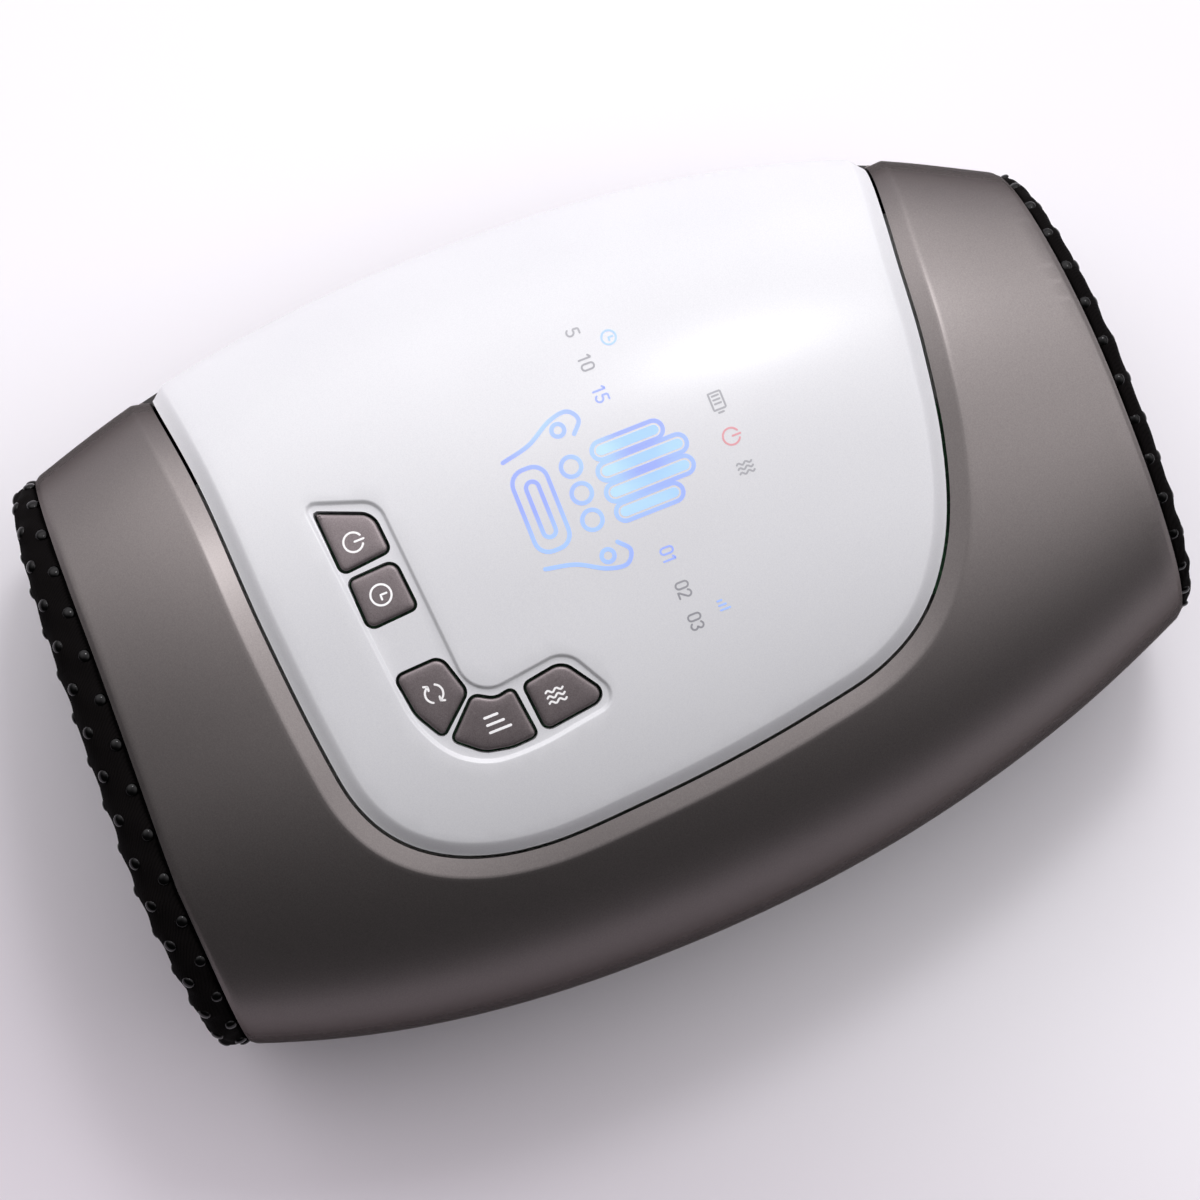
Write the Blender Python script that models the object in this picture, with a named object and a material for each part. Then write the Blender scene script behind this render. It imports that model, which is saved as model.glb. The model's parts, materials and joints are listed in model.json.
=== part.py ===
# Hand compression massager: a barrel-shaped case around a padded tunnel that squeezes the hand.
# Metres, +Z up. The origin is on the table under the middle of the object.
# +Y runs from the wrist opening to the finger opening, and +X is the user's right.

import math

import bmesh
import bpy
from mathutils import Vector

# Whole object
OVERALL_LENGTH = 0.267
OVERALL_WIDTH = 0.176
OVERALL_HEIGHT = 0.104

# Clearances
FIT_GAP = 0.0003
PANEL_GAP = 0.0005
KEY_GAP = 0.0006
LIP_GAP = 0.0004
CUT_OVERRUN = 0.004

# Case form: sections are superellipses, widest at the equator, that shrink towards both rims
WIDEST_Y = -0.020
FRONT_LIP_REACH = 0.010
REAR_LIP_REACH = 0.008
FRONT_TAPER = 0.0168
REAR_TAPER = 0.0300
FRONT_CROWN_DROP = 0.0150
REAR_CROWN_DROP = 0.0160
EQUATOR_HEIGHT = 0.045
PARTING_DROP = 0.005
BASE_RISE = 0.006
BASE_RISE_REACH = 0.0485
WALL = 0.0025
FRONT_POWER = 2.3
REAR_POWER = 2.15
UPPER_POWER = 2.35
LOWER_POWER = 3.2
BASE_FULLNESS = 1.10
CASE_STATIONS = 18
CASE_ARC_STEPS = 24

# Groove between the white panel and the grey case
GROOVE_HALF_WIDTH = 0.0040
GROOVE_DEPTH = 0.0011

# Feet
FOOT_HEIGHT = 0.0030
FOOT_RADIUS = 0.0070
FOOT_EDGE = 0.0008
FOOT_SIDE_INSET = 0.0500
FOOT_END_INSET = 0.0615

# Layers of the tunnel, from the hand outwards
LINER_THICKNESS = 0.0015
FILM_THICKNESS = 0.0005
PLATE_THICKNESS = 0.0025
AIRBAG_THICKNESS = 0.0070
FRAME_WALL = 0.0020
SIDE_PADDING = 0.0080
TUNNEL_POWER = 3.2
ELECTRONICS_BAY = 0.0160
FLARE_STEPS = 3
TUNNEL_ARC_STEPS = 20
BAG_FREE_STEPS = 4
PLATE_FREE_STEPS = 6

# Reach of the layers along the tunnel, from the rims inwards
FRAME_FRONT_INSET = 0.0115
FRAME_REAR_INSET = 0.0275
BAG_FRONT_INSET = 0.0435
BAG_REAR_INSET = 0.0535
LIP_DEPTH = 0.0085
FRONT_LIP_THICKNESS = 0.0135
REAR_LIP_THICKNESS = 0.0105
LIP_STEPS = 32

# Pump, on the left of the tunnel
PUMP_DIAMETER = 0.0220
PUMP_BAY_MARGIN = 0.0020
MOTOR_LENGTH = 0.0300
PUMP_HEAD_LENGTH = 0.0240
PUMP_CUP_DEPTH = 0.0100
PUMP_CUP_WALL = 0.0020
PUMP_Y = -0.020
SHAFT_RADIUS = 0.0010
SHAFT_LENGTH = 0.0060
CRANK_RADIUS = 0.0065
CRANK_THICKNESS = 0.0030
CRANK_PIN_RADIUS = 0.0012
CRANK_PIN_LENGTH = 0.0025
CLAMP_WALL = 0.0008
CLAMP_WIDTH = 0.0080

# Valves and manifold, behind the pump
VALVE_WIDTH = 0.0120
VALVE_LENGTH = 0.0170
VALVE_HEIGHT = 0.0110
VALVE_SPACING = 0.0200
VALVE_Y = 0.0240
PLUNGER_RADIUS = 0.0020
PLUNGER_LENGTH = 0.0070
PLUNGER_TRAVEL = 0.0015
MANIFOLD_LENGTH = 0.0260
MANIFOLD_HEIGHT = 0.0070
HOSE_RADIUS = 0.0020
NOZZLE_RADIUS = 0.0015
NOZZLE_REACH = 0.0040

# Battery, on the right of the tunnel
CELL_DIAMETER = 0.0184
CELL_LENGTH = 0.0650
CELL_Y = -0.0260
CELL_SPACE = 0.0006
TRAY_WALL = 0.0015
TRAY_SHELF_SHARE = 0.6

# Ribs on the lower case that carry the pump, valves and battery tray
RIB_THICKNESS = 0.0025

# Case screws and their bosses
BOSS_RADIUS = 0.0042
BOSS_INSET = 0.0085
BOSS_FRONT_INSET = 0.0235
BOSS_REAR_INSET = 0.0215
SCREW_RADIUS = 0.0014
SCREW_HEAD_RADIUS = 0.0027
SCREW_HEAD_HEIGHT = 0.0020
SCREW_LENGTH = 0.0220
SCREW_BITE = 0.0060

# Boards, over the tunnel
BOARD_THICKNESS = 0.0016
BOARD_LIFT = 0.0016
POST_RADIUS = 0.0025
BOARD_CORNER = 0.0020
MAIN_BOARD_WIDTH = 0.0600
MAIN_BOARD_SPACE = 0.0075
MAIN_BOARD_INSET = 0.0145
CHIP_SIZE = 0.0090
CHIP_HEIGHT = 0.0011
BOARD_SCREW_RADIUS = 0.0010
BOARD_SCREW_HEAD = 0.0020
BOARD_SCREW_HEAD_HEIGHT = 0.0010
BOARD_SCREW_LENGTH = 0.0050
GUIDE_MARGIN = 0.0030
GUIDE_GAP = 0.0006
WELL_WALL = 0.0020

# Keys
KEY_SIZE = 0.0125
POCKET_DEPTH = 0.0010
KEY_SINK = 0.0007
KEY_THICKNESS = 0.0030
KEY_TRAVEL = 0.0008
KEY_CORNER = 0.0013
KEY_STEM_RADIUS = 0.0018
SWITCH_WIDTH = 0.0060
SWITCH_HEIGHT = 0.0035
SWITCH_BUTTON_RADIUS = 0.0016
SWITCH_BUTTON_DEPTH = 0.0020
SWITCH_BUTTON_RISE = 0.0011

# Charging socket and buzzer
PORT_WIDTH = 0.0090
PORT_HEIGHT = 0.0034
PORT_DEPTH = 0.0075
PORT_WALL = 0.0004
PORT_Y = 0.0400
PORT_DROP = 0.0110
BUZZER_RADIUS = 0.0045
BUZZER_HEIGHT = 0.0042
BUZZER_X = 0.0180
BUZZER_INSET = 0.0260
BUZZER_HOLE = 0.0010

# Places and outlines as shares. The display board's, the bend of the key field and the panel's edge
# are shares of the half width and half length, and the keypad's outlines are of the key size,
# counted from that bend.
DISPLAY_SHARES = ((-0.568, -0.150), (0.227, 0.300))
KEYPAD_SHARES = (0.148, -0.325)
PANEL_SHARES = (
    (-1.12, -0.655),
    (-0.68, -0.631),
    (-0.23, -0.613),
    (0.11, -0.598),
    (0.31, -0.575),
    (0.449, -0.517),
    (0.54, -0.419),
    (0.58, -0.285),
    (0.571, -0.105),
    (0.55, 0.06),
    (0.514, 0.225),
    (0.466, 0.367),
    (0.37, 0.472),
    (0.205, 0.551),
    (-0.02, 0.604),
    (-0.295, 0.638),
    (-0.57, 0.655),
    (-1.12, 0.660),
)
POCKET_SHARES = (
    (-4.51, -1.56, 0.20),
    (-4.05, -0.28, 0.26),
    (0.02, 0.01, 0.64),
    (-0.22, 1.93, 0.32),
    (0.74, 2.46, 0.14),
    (1.02, 2.32, 0.14),
    (1.27, 0.62, 0.60),
    (1.14, -0.38, 0.50),
    (0.25, -1.12, 0.57),
)
KEY_SHARES = {
    "power": ((-4.31, -1.45), (-3.89, -0.44), (-3.13, -0.38), (-3.04, -1.37)),
    "timer": ((-2.89, -1.32), (-2.93, -0.38), (-1.96, -0.30), (-1.90, -1.28)),
    "mode": ((-0.92, -1.17), (-0.96, -0.25), (-0.18, -0.02), (0.45, -0.74), (-0.12, -1.06)),
    "intensity": (
        (-0.09, 0.04),
        (0.13, 0.41),
        (0.06, 0.78),
        (1.06, 0.90),
        (1.09, 0.39),
        (0.98, -0.13),
        (0.56, -0.62),
    ),
    "heat": ((0.08, 0.98), (-0.05, 1.80), (0.69, 2.30), (0.89, 2.19), (1.03, 1.07)),
}

# Posts of the key board, also in key sizes from the bend of the key field
KEY_POST_SHARES = ((-3.6, -0.95), (-1.45, -0.85), (0.5, 0.94))

# Lip section: share of the way from the case to the mouth, and share of the reach past the rim
LIP_SHARES = (
    (0.0, 0.05),
    (-0.12, 0.12),
    (-0.13, 0.38),
    (-0.03, 0.72),
    (0.18, 0.94),
    (0.42, 1.0),
    (0.68, 0.92),
    (0.90, 0.64),
    (1.0, 0.2),
)
LIP_SIDE_SHARE = 0.5
MOUTH_HEIGHT_SHARE = 1.1

# Places that follow from the sizes above
HALF_LENGTH = OVERALL_LENGTH / 2
HALF_WIDTH = OVERALL_WIDTH / 2
FRONT_RIM_Y = FRONT_LIP_REACH - HALF_LENGTH
REAR_RIM_Y = HALF_LENGTH - REAR_LIP_REACH
BASE_HEIGHT = FOOT_HEIGHT + FIT_GAP
BASE_FLAT_REACH = HALF_LENGTH - BASE_RISE_REACH
FOOT_X = HALF_WIDTH - FOOT_SIDE_INSET
FOOT_Y = HALF_LENGTH - FOOT_END_INSET
KEYPAD_X = KEYPAD_SHARES[0] * HALF_WIDTH
KEYPAD_Y = KEYPAD_SHARES[1] * HALF_LENGTH
PARTING_Z = EQUATOR_HEIGHT - PARTING_DROP
FLOOR_Z = BASE_HEIGHT + WALL
SIDE_BAY = PUMP_DIAMETER + 2 * PUMP_BAY_MARGIN
FRAME_HALF_WIDTH = HALF_WIDTH - WALL - SIDE_BAY
FRAME_TOP_Z = OVERALL_HEIGHT - WALL - ELECTRONICS_BAY
FRAME_HALF_HEIGHT = (FRAME_TOP_Z - FLOOR_Z - FIT_GAP) / 2
TUNNEL_Z = FRAME_TOP_Z - FRAME_HALF_HEIGHT
FILM_DEPTH = LINER_THICKNESS + FIT_GAP
PLATE_DEPTH = FILM_DEPTH + FILM_THICKNESS + FIT_GAP
AIRBAG_DEPTH = PLATE_DEPTH + PLATE_THICKNESS + FIT_GAP
FRAME_DEPTH = AIRBAG_DEPTH + AIRBAG_THICKNESS + FIT_GAP
TOTAL_DEPTH = FRAME_DEPTH + FRAME_WALL
SIDE_SHARE = (SIDE_PADDING - FRAME_WALL) / FRAME_DEPTH
CLEAR_HALF_WIDTH = FRAME_HALF_WIDTH - SIDE_PADDING
CLEAR_HALF_HEIGHT = FRAME_HALF_HEIGHT - TOTAL_DEPTH
FRAME_FRONT_Y = FRONT_RIM_Y + FRAME_FRONT_INSET
FRAME_REAR_Y = REAR_RIM_Y - FRAME_REAR_INSET
BAG_FRONT_Y = FRONT_RIM_Y + BAG_FRONT_INSET
BAG_REAR_Y = REAR_RIM_Y - BAG_REAR_INSET
LIP_FRONT_Y = FRONT_RIM_Y + LIP_DEPTH
LIP_REAR_Y = REAR_RIM_Y - LIP_DEPTH
BOARD_Z = FRAME_TOP_Z + BOARD_LIFT
BOARD_TOP_Z = BOARD_Z + BOARD_THICKNESS


# Scene, collections and materials


def clear_scene():
    for obj in list(bpy.data.objects):
        bpy.data.objects.remove(obj)
    scene = bpy.context.scene
    scene.unit_settings.scale_length = 1.0
    parts = bpy.data.collections.new("hand_massager")
    cutters = bpy.data.collections.new("cutters")
    cutters.hide_render = True
    scene.collection.children.link(parts)
    scene.collection.children.link(cutters)
    return parts, cutters


PARTS, CUTTERS = clear_scene()


def material(name, colour, roughness, metallic=0.0):
    made = bpy.data.materials.new(name)
    made.use_nodes = True
    shader = made.node_tree.nodes["Principled BSDF"]
    shader.inputs["Base Color"].default_value = (*colour, 1.0)
    shader.inputs["Roughness"].default_value = roughness
    shader.inputs["Metallic"].default_value = metallic
    return made


SHELL_GREY = material("grey_metallic_plastic", (0.19, 0.17, 0.165), 0.42, 0.3)
BASE_GREY = material("dark_grey_plastic", (0.06, 0.055, 0.055), 0.5)
PANEL_WHITE = material("pearl_white_plastic", (0.80, 0.80, 0.83), 0.3)
KEY_GREY = material("key_grey_plastic", (0.17, 0.15, 0.15), 0.4, 0.2)
LIP_BLACK = material("black_padded_fabric", (0.012, 0.012, 0.013), 0.6)
LINER_BLACK = material("black_mesh_fabric", (0.02, 0.02, 0.022), 0.8)
BAG_GREY = material("airbag_film", (0.35, 0.36, 0.38), 0.45)
PLATE_BLACK = material("plate_plastic", (0.03, 0.03, 0.03), 0.5)
FILM_AMBER = material("heating_film", (0.55, 0.22, 0.05), 0.35)
FRAME_WHITE = material("frame_plastic", (0.62, 0.62, 0.60), 0.5)
STEEL = material("zinc_steel", (0.62, 0.62, 0.64), 0.3, 1.0)
SCREW_STEEL = material("black_screw_steel", (0.08, 0.08, 0.085), 0.35, 1.0)
BOARD_GREEN = material("circuit_board", (0.02, 0.16, 0.07), 0.4)
CELL_BLUE = material("cell_sleeve", (0.02, 0.12, 0.42), 0.4)
HOSE_CLEAR = material("silicone_hose", (0.75, 0.76, 0.74), 0.35)
RUBBER = material("foot_rubber", (0.02, 0.02, 0.02), 0.85)
GUIDE_WHITE = material("light_guide", (0.85, 0.85, 0.85), 0.55)
SWITCH_BLACK = material("switch_housing", (0.02, 0.02, 0.02), 0.4)


# Building tools


def finish(name, bm, coat, cutter=False):
    bmesh.ops.recalc_face_normals(bm, faces=bm.faces)
    mesh = bpy.data.meshes.new(name)
    bm.to_mesh(mesh)
    bm.free()
    obj = bpy.data.objects.new(name, mesh)
    if cutter:
        obj.hide_render = True
        obj.display_type = "WIRE"
        CUTTERS.objects.link(obj)
        return obj
    mesh.materials.append(coat)
    mesh.shade_smooth()
    mesh.set_sharp_from_angle(angle=math.radians(35))
    PARTS.objects.link(obj)
    return obj


def boolean(target, other, operation):
    step = target.modifiers.new(operation.lower() + "_" + other.name, "BOOLEAN")
    step.operation = operation
    step.solver = "EXACT"
    step.object = other
    return target


def cut(target, *cutters):
    for cutter in cutters:
        boolean(target, cutter, "DIFFERENCE")
    return target


def join(target, *others):
    for other in others:
        boolean(target, other, "UNION")
    return target


def add_quads(bm, first, second, closed):
    count = len(first)
    for index in range(count if closed else count - 1):
        after = (index + 1) % count
        bm.faces.new((first[index], first[after], second[after], second[index]))


def thick_sheet(name, outer, inner, coat, cutter=False):
    # A curved wall between two grids of points that match row by row
    bm = bmesh.new()
    skins = []
    for skin in (outer, inner):
        skins.append([[bm.verts.new(point) for point in row] for row in skin])
    for skin in skins:
        for row, following in zip(skin, skin[1:]):
            add_quads(bm, row, following, False)
    front, back = skins
    for row in (0, -1):
        add_quads(bm, front[row], back[row], False)
    for column in (0, -1):
        left = [row[column] for row in front]
        right = [row[column] for row in back]
        add_quads(bm, left, right, False)
    return finish(name, bm, coat, cutter)


def ring_loft(name, rings, coat, cutter=False, endless=False):
    # A loft through closed rings: capped at both ends, or closed back on its first ring
    bm = bmesh.new()
    loops = [[bm.verts.new(point) for point in ring] for ring in rings]
    for loop, following in zip(loops, loops[1:]):
        add_quads(bm, loop, following, True)
    if endless:
        add_quads(bm, loops[-1], loops[0], True)
    else:
        bm.faces.new(loops[0])
        bm.faces.new(loops[-1])
    return finish(name, bm, coat, cutter)


def slab(name, outline, top, bottom, coat, cutter=False, grid=0.0):
    # A flat outline with a top and a bottom that may each follow a curved surface
    bm = bmesh.new()
    bm.faces.new([bm.verts.new((x, y, 0)) for x, y in outline])
    for axis in (0, 1):
        places = [point[axis] for point in outline]
        lines = int((max(places) - min(places)) / grid) if grid else 0
        for line in range(1, lines + 1):
            place = [0, 0, 0]
            place[axis] = min(places) + (max(places) - min(places)) * line / (lines + 1)
            normal = [0, 0, 0]
            normal[axis] = 1
            everything = bm.verts[:] + bm.edges[:] + bm.faces[:]
            bmesh.ops.bisect_plane(bm, geom=everything, plane_co=place, plane_no=normal)
    lower = bm.verts[:]
    made = bmesh.ops.extrude_face_region(bm, geom=bm.faces[:])
    for item in made["geom"]:
        if isinstance(item, bmesh.types.BMVert):
            item.co.z = top(item.co.x, item.co.y)
    for vert in lower:
        vert.co.z = bottom(vert.co.x, vert.co.y)
    bmesh.ops.triangulate(bm, faces=[face for face in bm.faces if len(face.verts) > 4])
    return finish(name, bm, coat, cutter)


def level(height):
    return lambda x, y: height


def box(name, low, high, coat=None, cutter=False, edge=0.0):
    bm = bmesh.new()
    bmesh.ops.create_cube(bm, size=1)
    for vert in bm.verts:
        vert.co = [low[axis] + (high[axis] - low[axis]) * (vert.co[axis] + 0.5) for axis in range(3)]
    if edge:
        bmesh.ops.bevel(bm, geom=bm.edges[:], offset=edge, segments=1, affect="EDGES")
    return finish(name, bm, coat, cutter)


def rod(name, start, end, radius, coat=None, cutter=False, sides=16, end_radius=None):
    # A cylinder or cone from one point to another
    first, last = Vector(start), Vector(end)
    bm = bmesh.new()
    bmesh.ops.create_cone(
        bm,
        cap_ends=True,
        segments=sides,
        radius1=radius,
        radius2=radius if end_radius is None else end_radius,
        depth=(last - first).length,
    )
    turn = Vector((0, 0, 1)).rotation_difference(last - first).to_matrix()
    for vert in bm.verts:
        vert.co = turn @ vert.co + (first + last) / 2
    return finish(name, bm, coat, cutter)


def hose(name, corners, radius, coat):
    # A tube along straight stretches with its corners bent round
    curve = bpy.data.curves.new(name, "CURVE")
    curve.dimensions = "3D"
    curve.bevel_depth = radius
    curve.bevel_resolution = 2
    curve.use_fill_caps = True
    points = bent_route([Vector(corner) for corner in corners])
    spline = curve.splines.new("POLY")
    spline.points.add(len(points) - 1)
    for target, point in zip(spline.points, points):
        target.co = (*point, 1)
    curve.materials.append(coat)
    obj = bpy.data.objects.new(name, curve)
    PARTS.objects.link(obj)
    return obj


def bent_route(corners, steps=3, share=0.45):
    # A bend takes this share of the stretch on each side, and twice that where the stretch ends the route
    points = [corners[0]]
    last = len(corners) - 1
    for index in range(1, last):
        before, here, after = corners[index - 1 : index + 2]
        room_before = (before - here).length * (2 if index == 1 else 1)
        room_after = (after - here).length * (2 if index == last - 1 else 1)
        reach = share * min(room_before, room_after)
        start = here + (before - here).normalized() * reach
        end = here + (after - here).normalized() * reach
        for step in range(steps + 1):
            t = step / steps
            points.append(start * (1 - t) ** 2 + here * 2 * t * (1 - t) + end * t**2)
    return (*points, corners[-1])


def smooth_path(points, steps):
    # A smooth curve through the points
    places = [Vector(point) for point in points]
    ends = [2 * places[0] - places[1], *places, 2 * places[-1] - places[-2]]
    found = []
    for index in range(1, len(ends) - 2):
        before, first, last, after = ends[index - 1 : index + 3]
        for step in range(steps):
            t = step / steps
            found.append(
                0.5
                * (
                    2 * first
                    + (last - before) * t
                    + (2 * before - 5 * first + 4 * last - after) * t**2
                    + (3 * first - before - 3 * last + after) * t**3
                )
            )
    found.append(places[-1])
    return [tuple(point) for point in found]


def offset(outline, distance, closed=True):
    # Moves an outline that runs counterclockwise outwards by the distance
    count = len(outline)
    moved = []
    for index, place in enumerate(outline):
        before = outline[index - 1] if closed or index else place
        after = outline[(index + 1) % count] if closed or index < count - 1 else place
        along = Vector((after[0] - before[0], after[1] - before[1])).normalized()
        moved.append((place[0] + along.y * distance, place[1] - along.x * distance))
    return moved


def rounded(corners, steps=4):
    # Corners are (x, y, distance over which the corner is rounded)
    bend_share = 0.55
    area = 0
    for first, last in zip(corners, corners[1:] + corners[:1]):
        area += first[0] * last[1] - last[0] * first[1]
    ordered = corners if area > 0 else corners[::-1]
    found = []
    for index, (x, y, size) in enumerate(ordered):
        here = Vector((x, y))
        before = Vector(ordered[index - 1][:2])
        after = Vector(ordered[(index + 1) % len(ordered)][:2])
        start = here + (before - here).normalized() * min(size, (before - here).length / 2)
        end = here + (after - here).normalized() * min(size, (after - here).length / 2)
        pull = (start.lerp(here, bend_share), end.lerp(here, bend_share))
        for step in range(steps + 1):
            t = step / steps
            found.append(
                tuple(
                    start * (1 - t) ** 3
                    + pull[0] * 3 * t * (1 - t) ** 2
                    + pull[1] * 3 * t**2 * (1 - t)
                    + end * t**3
                )
            )
    return found


def rectangle(low_x, low_y, high_x, high_y, corner):
    places = ((low_x, low_y), (high_x, low_y), (high_x, high_y), (low_x, high_y))
    return rounded([(x, y, corner) for x, y in places], steps=2)


# Case surface


def taper(y, front, rear):
    if y < WIDEST_Y:
        return front * ((WIDEST_Y - y) / (WIDEST_Y - FRONT_RIM_Y)) ** FRONT_POWER
    return rear * ((y - WIDEST_Y) / (REAR_RIM_Y - WIDEST_Y)) ** REAR_POWER


def half_width(y):
    return HALF_WIDTH - taper(y, FRONT_TAPER, REAR_TAPER)


def crown(y):
    return OVERALL_HEIGHT - taper(y, FRONT_CROWN_DROP, REAR_CROWN_DROP)


def base(y):
    rim = -FRONT_RIM_Y if y < 0 else REAR_RIM_Y
    share = max(0, abs(y) - BASE_FLAT_REACH) / (rim - BASE_FLAT_REACH)
    return BASE_HEIGHT + BASE_RISE * share**2


def case_point(y, angle, inset=0.0):
    # Angle 0 is the right side at the equator, and a quarter turn is the crown
    cosine, sine = math.cos(angle), math.sin(angle)
    power = UPPER_POWER if sine >= 0 else LOWER_POWER
    x = (half_width(y) - inset) * math.copysign(abs(cosine) ** (2 / power), cosine)
    rise = abs(sine) ** (2 / power)
    if sine >= 0:
        return x, y, EQUATOR_HEIGHT + (crown(y) - inset - EQUATOR_HEIGHT) * rise
    floor = base(y) + inset
    return x, y, max(floor, EQUATOR_HEIGHT - (EQUATOR_HEIGHT - floor) * BASE_FULLNESS * rise)


def case_top(x, y, inset=0.0):
    # Height of the upper case surface over a place on the table
    share = min(1, abs(x) / (half_width(y) - inset))
    rise = (1 - share**UPPER_POWER) ** (1 / UPPER_POWER)
    return EQUATOR_HEIGHT + (crown(y) - inset - EQUATOR_HEIGHT) * rise


def parting_angle(y, inset, height):
    share = (EQUATOR_HEIGHT - height) / ((EQUATOR_HEIGHT - base(y) - inset) * BASE_FULLNESS)
    return math.asin(share ** (LOWER_POWER / 2))


def stations(front, rear, count):
    return [front + (rear - front) * index / count for index in range(count + 1)]


def case_half(name, coat, upper):
    skins = []
    height = PARTING_Z if upper else PARTING_Z - FIT_GAP
    for inset in (0.0, WALL):
        rows = []
        for y in stations(FRONT_RIM_Y, REAR_RIM_Y, CASE_STATIONS):
            start = -parting_angle(y, inset, height)
            sweep = math.pi - 2 * start if upper else -math.pi - 2 * start
            angles = [start + sweep * step / CASE_ARC_STEPS for step in range(CASE_ARC_STEPS + 1)]
            rows.append([case_point(y, angle, inset) for angle in angles])
        skins.append(rows)
    return thick_sheet(name, *skins, coat)


def case_core(name, inset):
    # The solid inside the case skin: it trims ribs and bosses to the middle of the wall
    rings = []
    for y in stations(FRONT_RIM_Y + inset, REAR_RIM_Y - inset, CASE_STATIONS):
        angles = [2 * math.pi * step / (2 * CASE_ARC_STEPS) for step in range(2 * CASE_ARC_STEPS)]
        rings.append([case_point(y, angle, inset) for angle in angles])
    return ring_loft(name, rings, None, cutter=True)


def panel_line(distance):
    # The panel's edge in plan, moved outwards by the distance; it runs counterclockwise
    points = [(x * HALF_WIDTH, y * HALF_LENGTH, 0) for x, y in PANEL_SHARES]
    line = [point[:2] for point in smooth_path(points, 3)]
    return offset(line, distance, closed=False)


def panel_prism(name, distance):
    line = panel_line(distance)
    far = -HALF_WIDTH - CUT_OVERRUN
    outline = [(far, line[0][1]), *[p for p in line if p[0] > far], (far, line[-1][1])]
    top = level(OVERALL_HEIGHT + CUT_OVERRUN)
    return slab(name, outline, top, level(PARTING_Z - CUT_OVERRUN), None, cutter=True)


def surface_frame(y, angle):
    # A point of the case and its outward normal
    turn = 1e-4
    step = HALF_WIDTH * turn
    here = Vector(case_point(y, angle))
    round_case = Vector(case_point(y, angle + turn)) - Vector(case_point(y, angle - turn))
    along = Vector(case_point(y + step, angle)) - Vector(case_point(y - step, angle))
    normal = along.cross(round_case).normalized()
    return here, normal if normal.dot(here - Vector((0, y, EQUATOR_HEIGHT))) > 0 else -normal


def groove_cutter():
    # A V-shaped band along the panel's edge, over the crown and down the left side past the parting
    plan_share, past_share, side_steps, lift_share = 0.93, 1.6, 5, 0.25
    route = []
    for x, y in panel_line(0.0):
        share = x / half_width(y)
        if share > -plan_share:
            cosine = math.copysign(abs(share) ** (UPPER_POWER / 2), share)
            route.append((y, math.acos(cosine)))
    ends = []
    for y, angle in (route[0], route[-1]):
        turn = math.pi + parting_angle(y, 0.0, PARTING_Z) * past_share - angle
        ends.append([(y, angle + turn * step / side_steps) for step in range(1, side_steps + 1)])
    frames = [surface_frame(y, angle) for y, angle in ends[0][::-1] + route + ends[1]]
    rings = []
    for index, (here, normal) in enumerate(frames):
        before = frames[max(0, index - 1)][0]
        after = frames[min(len(frames) - 1, index + 1)][0]
        across = (after - before).cross(normal).normalized()
        lift = GROOVE_DEPTH * lift_share
        left = here - across * GROOVE_HALF_WIDTH + normal * lift
        right = here + across * GROOVE_HALF_WIDTH + normal * lift
        over = normal * CUT_OVERRUN
        rings.append((left, here - normal * GROOVE_DEPTH, right, right + over, left + over))
    return ring_loft("groove_cutter", rings, None, cutter=True)


# Keypad


def keypad_place(x_share, y_share):
    return KEYPAD_X + x_share * KEY_SIZE, KEYPAD_Y + y_share * KEY_SIZE


def pocket_outline():
    return rounded([(*keypad_place(x, y), size * KEY_SIZE) for x, y, size in POCKET_SHARES])


def key_outline(name):
    return rounded([(*keypad_place(x, y), KEY_CORNER) for x, y in KEY_SHARES[name]], steps=2)


def key_centre(name):
    outline = key_outline(name)
    xs = [x for x, y in outline]
    ys = [y for x, y in outline]
    return (min(xs) + max(xs)) / 2, (min(ys) + max(ys)) / 2


# Case


def build_case():
    upper = case_half("upper_shell", SHELL_GREY, True)
    panel = case_half("top_panel", PANEL_WHITE, True)
    lower = case_half("lower_shell", BASE_GREY, False)
    groove = groove_cutter()
    cut(upper, panel_prism("shell_opening", PANEL_GAP / 2), groove)
    keep = panel_prism("panel_area", -PANEL_GAP / 2)
    boolean(panel, keep, "INTERSECT")
    cut(panel, groove)
    pocket = slab(
        "key_pocket",
        pocket_outline(),
        level(OVERALL_HEIGHT + CUT_OVERRUN),
        lambda x, y: case_top(x, y) - POCKET_DEPTH,
        None,
        cutter=True,
        grid=KEY_SIZE,
    )
    cut(panel, pocket)
    for name in KEY_SHARES:
        hole = slab(
            name + "_hole",
            offset(key_outline(name), KEY_GAP),
            level(OVERALL_HEIGHT + CUT_OVERRUN),
            level(EQUATOR_HEIGHT),
            None,
            cutter=True,
        )
        cut(panel, hole)
    return upper, panel, lower


UPPER_SHELL, TOP_PANEL, LOWER_SHELL = build_case()


# Hand tunnel: liner, heating film, pressure plates, air bags and frames lie around each other


def layer_size(depth):
    return CLEAR_HALF_WIDTH + depth * SIDE_SHARE, CLEAR_HALF_HEIGHT + depth


def oval(y, angle, width, up, down):
    cosine, sine = math.cos(angle), math.sin(angle)
    x = width * math.copysign(abs(cosine) ** (2 / TUNNEL_POWER), cosine)
    rise = math.copysign(abs(sine) ** (2 / TUNNEL_POWER), sine)
    return x, y, TUNNEL_Z + rise * (up if sine > 0 else down)


def arch_angle(step):
    return math.pi * step / TUNNEL_ARC_STEPS


def layer_sheet(name, coat, side, depth, thickness, free_steps):
    # A curved layer over the hand (side 1) or under it (side -1), with steps of the arch left free
    steps = range(free_steps, TUNNEL_ARC_STEPS - free_steps + 1)
    angles = [side * arch_angle(step) for step in steps]
    skins = []
    for reach in (depth + thickness, depth):
        width, height = layer_size(reach)
        rows = []
        for y in (BAG_FRONT_Y, BAG_REAR_Y):
            rows.append([oval(y, angle, width, height, height) for angle in angles])
        skins.append(rows)
    return thick_sheet(name, *skins, coat)


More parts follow.
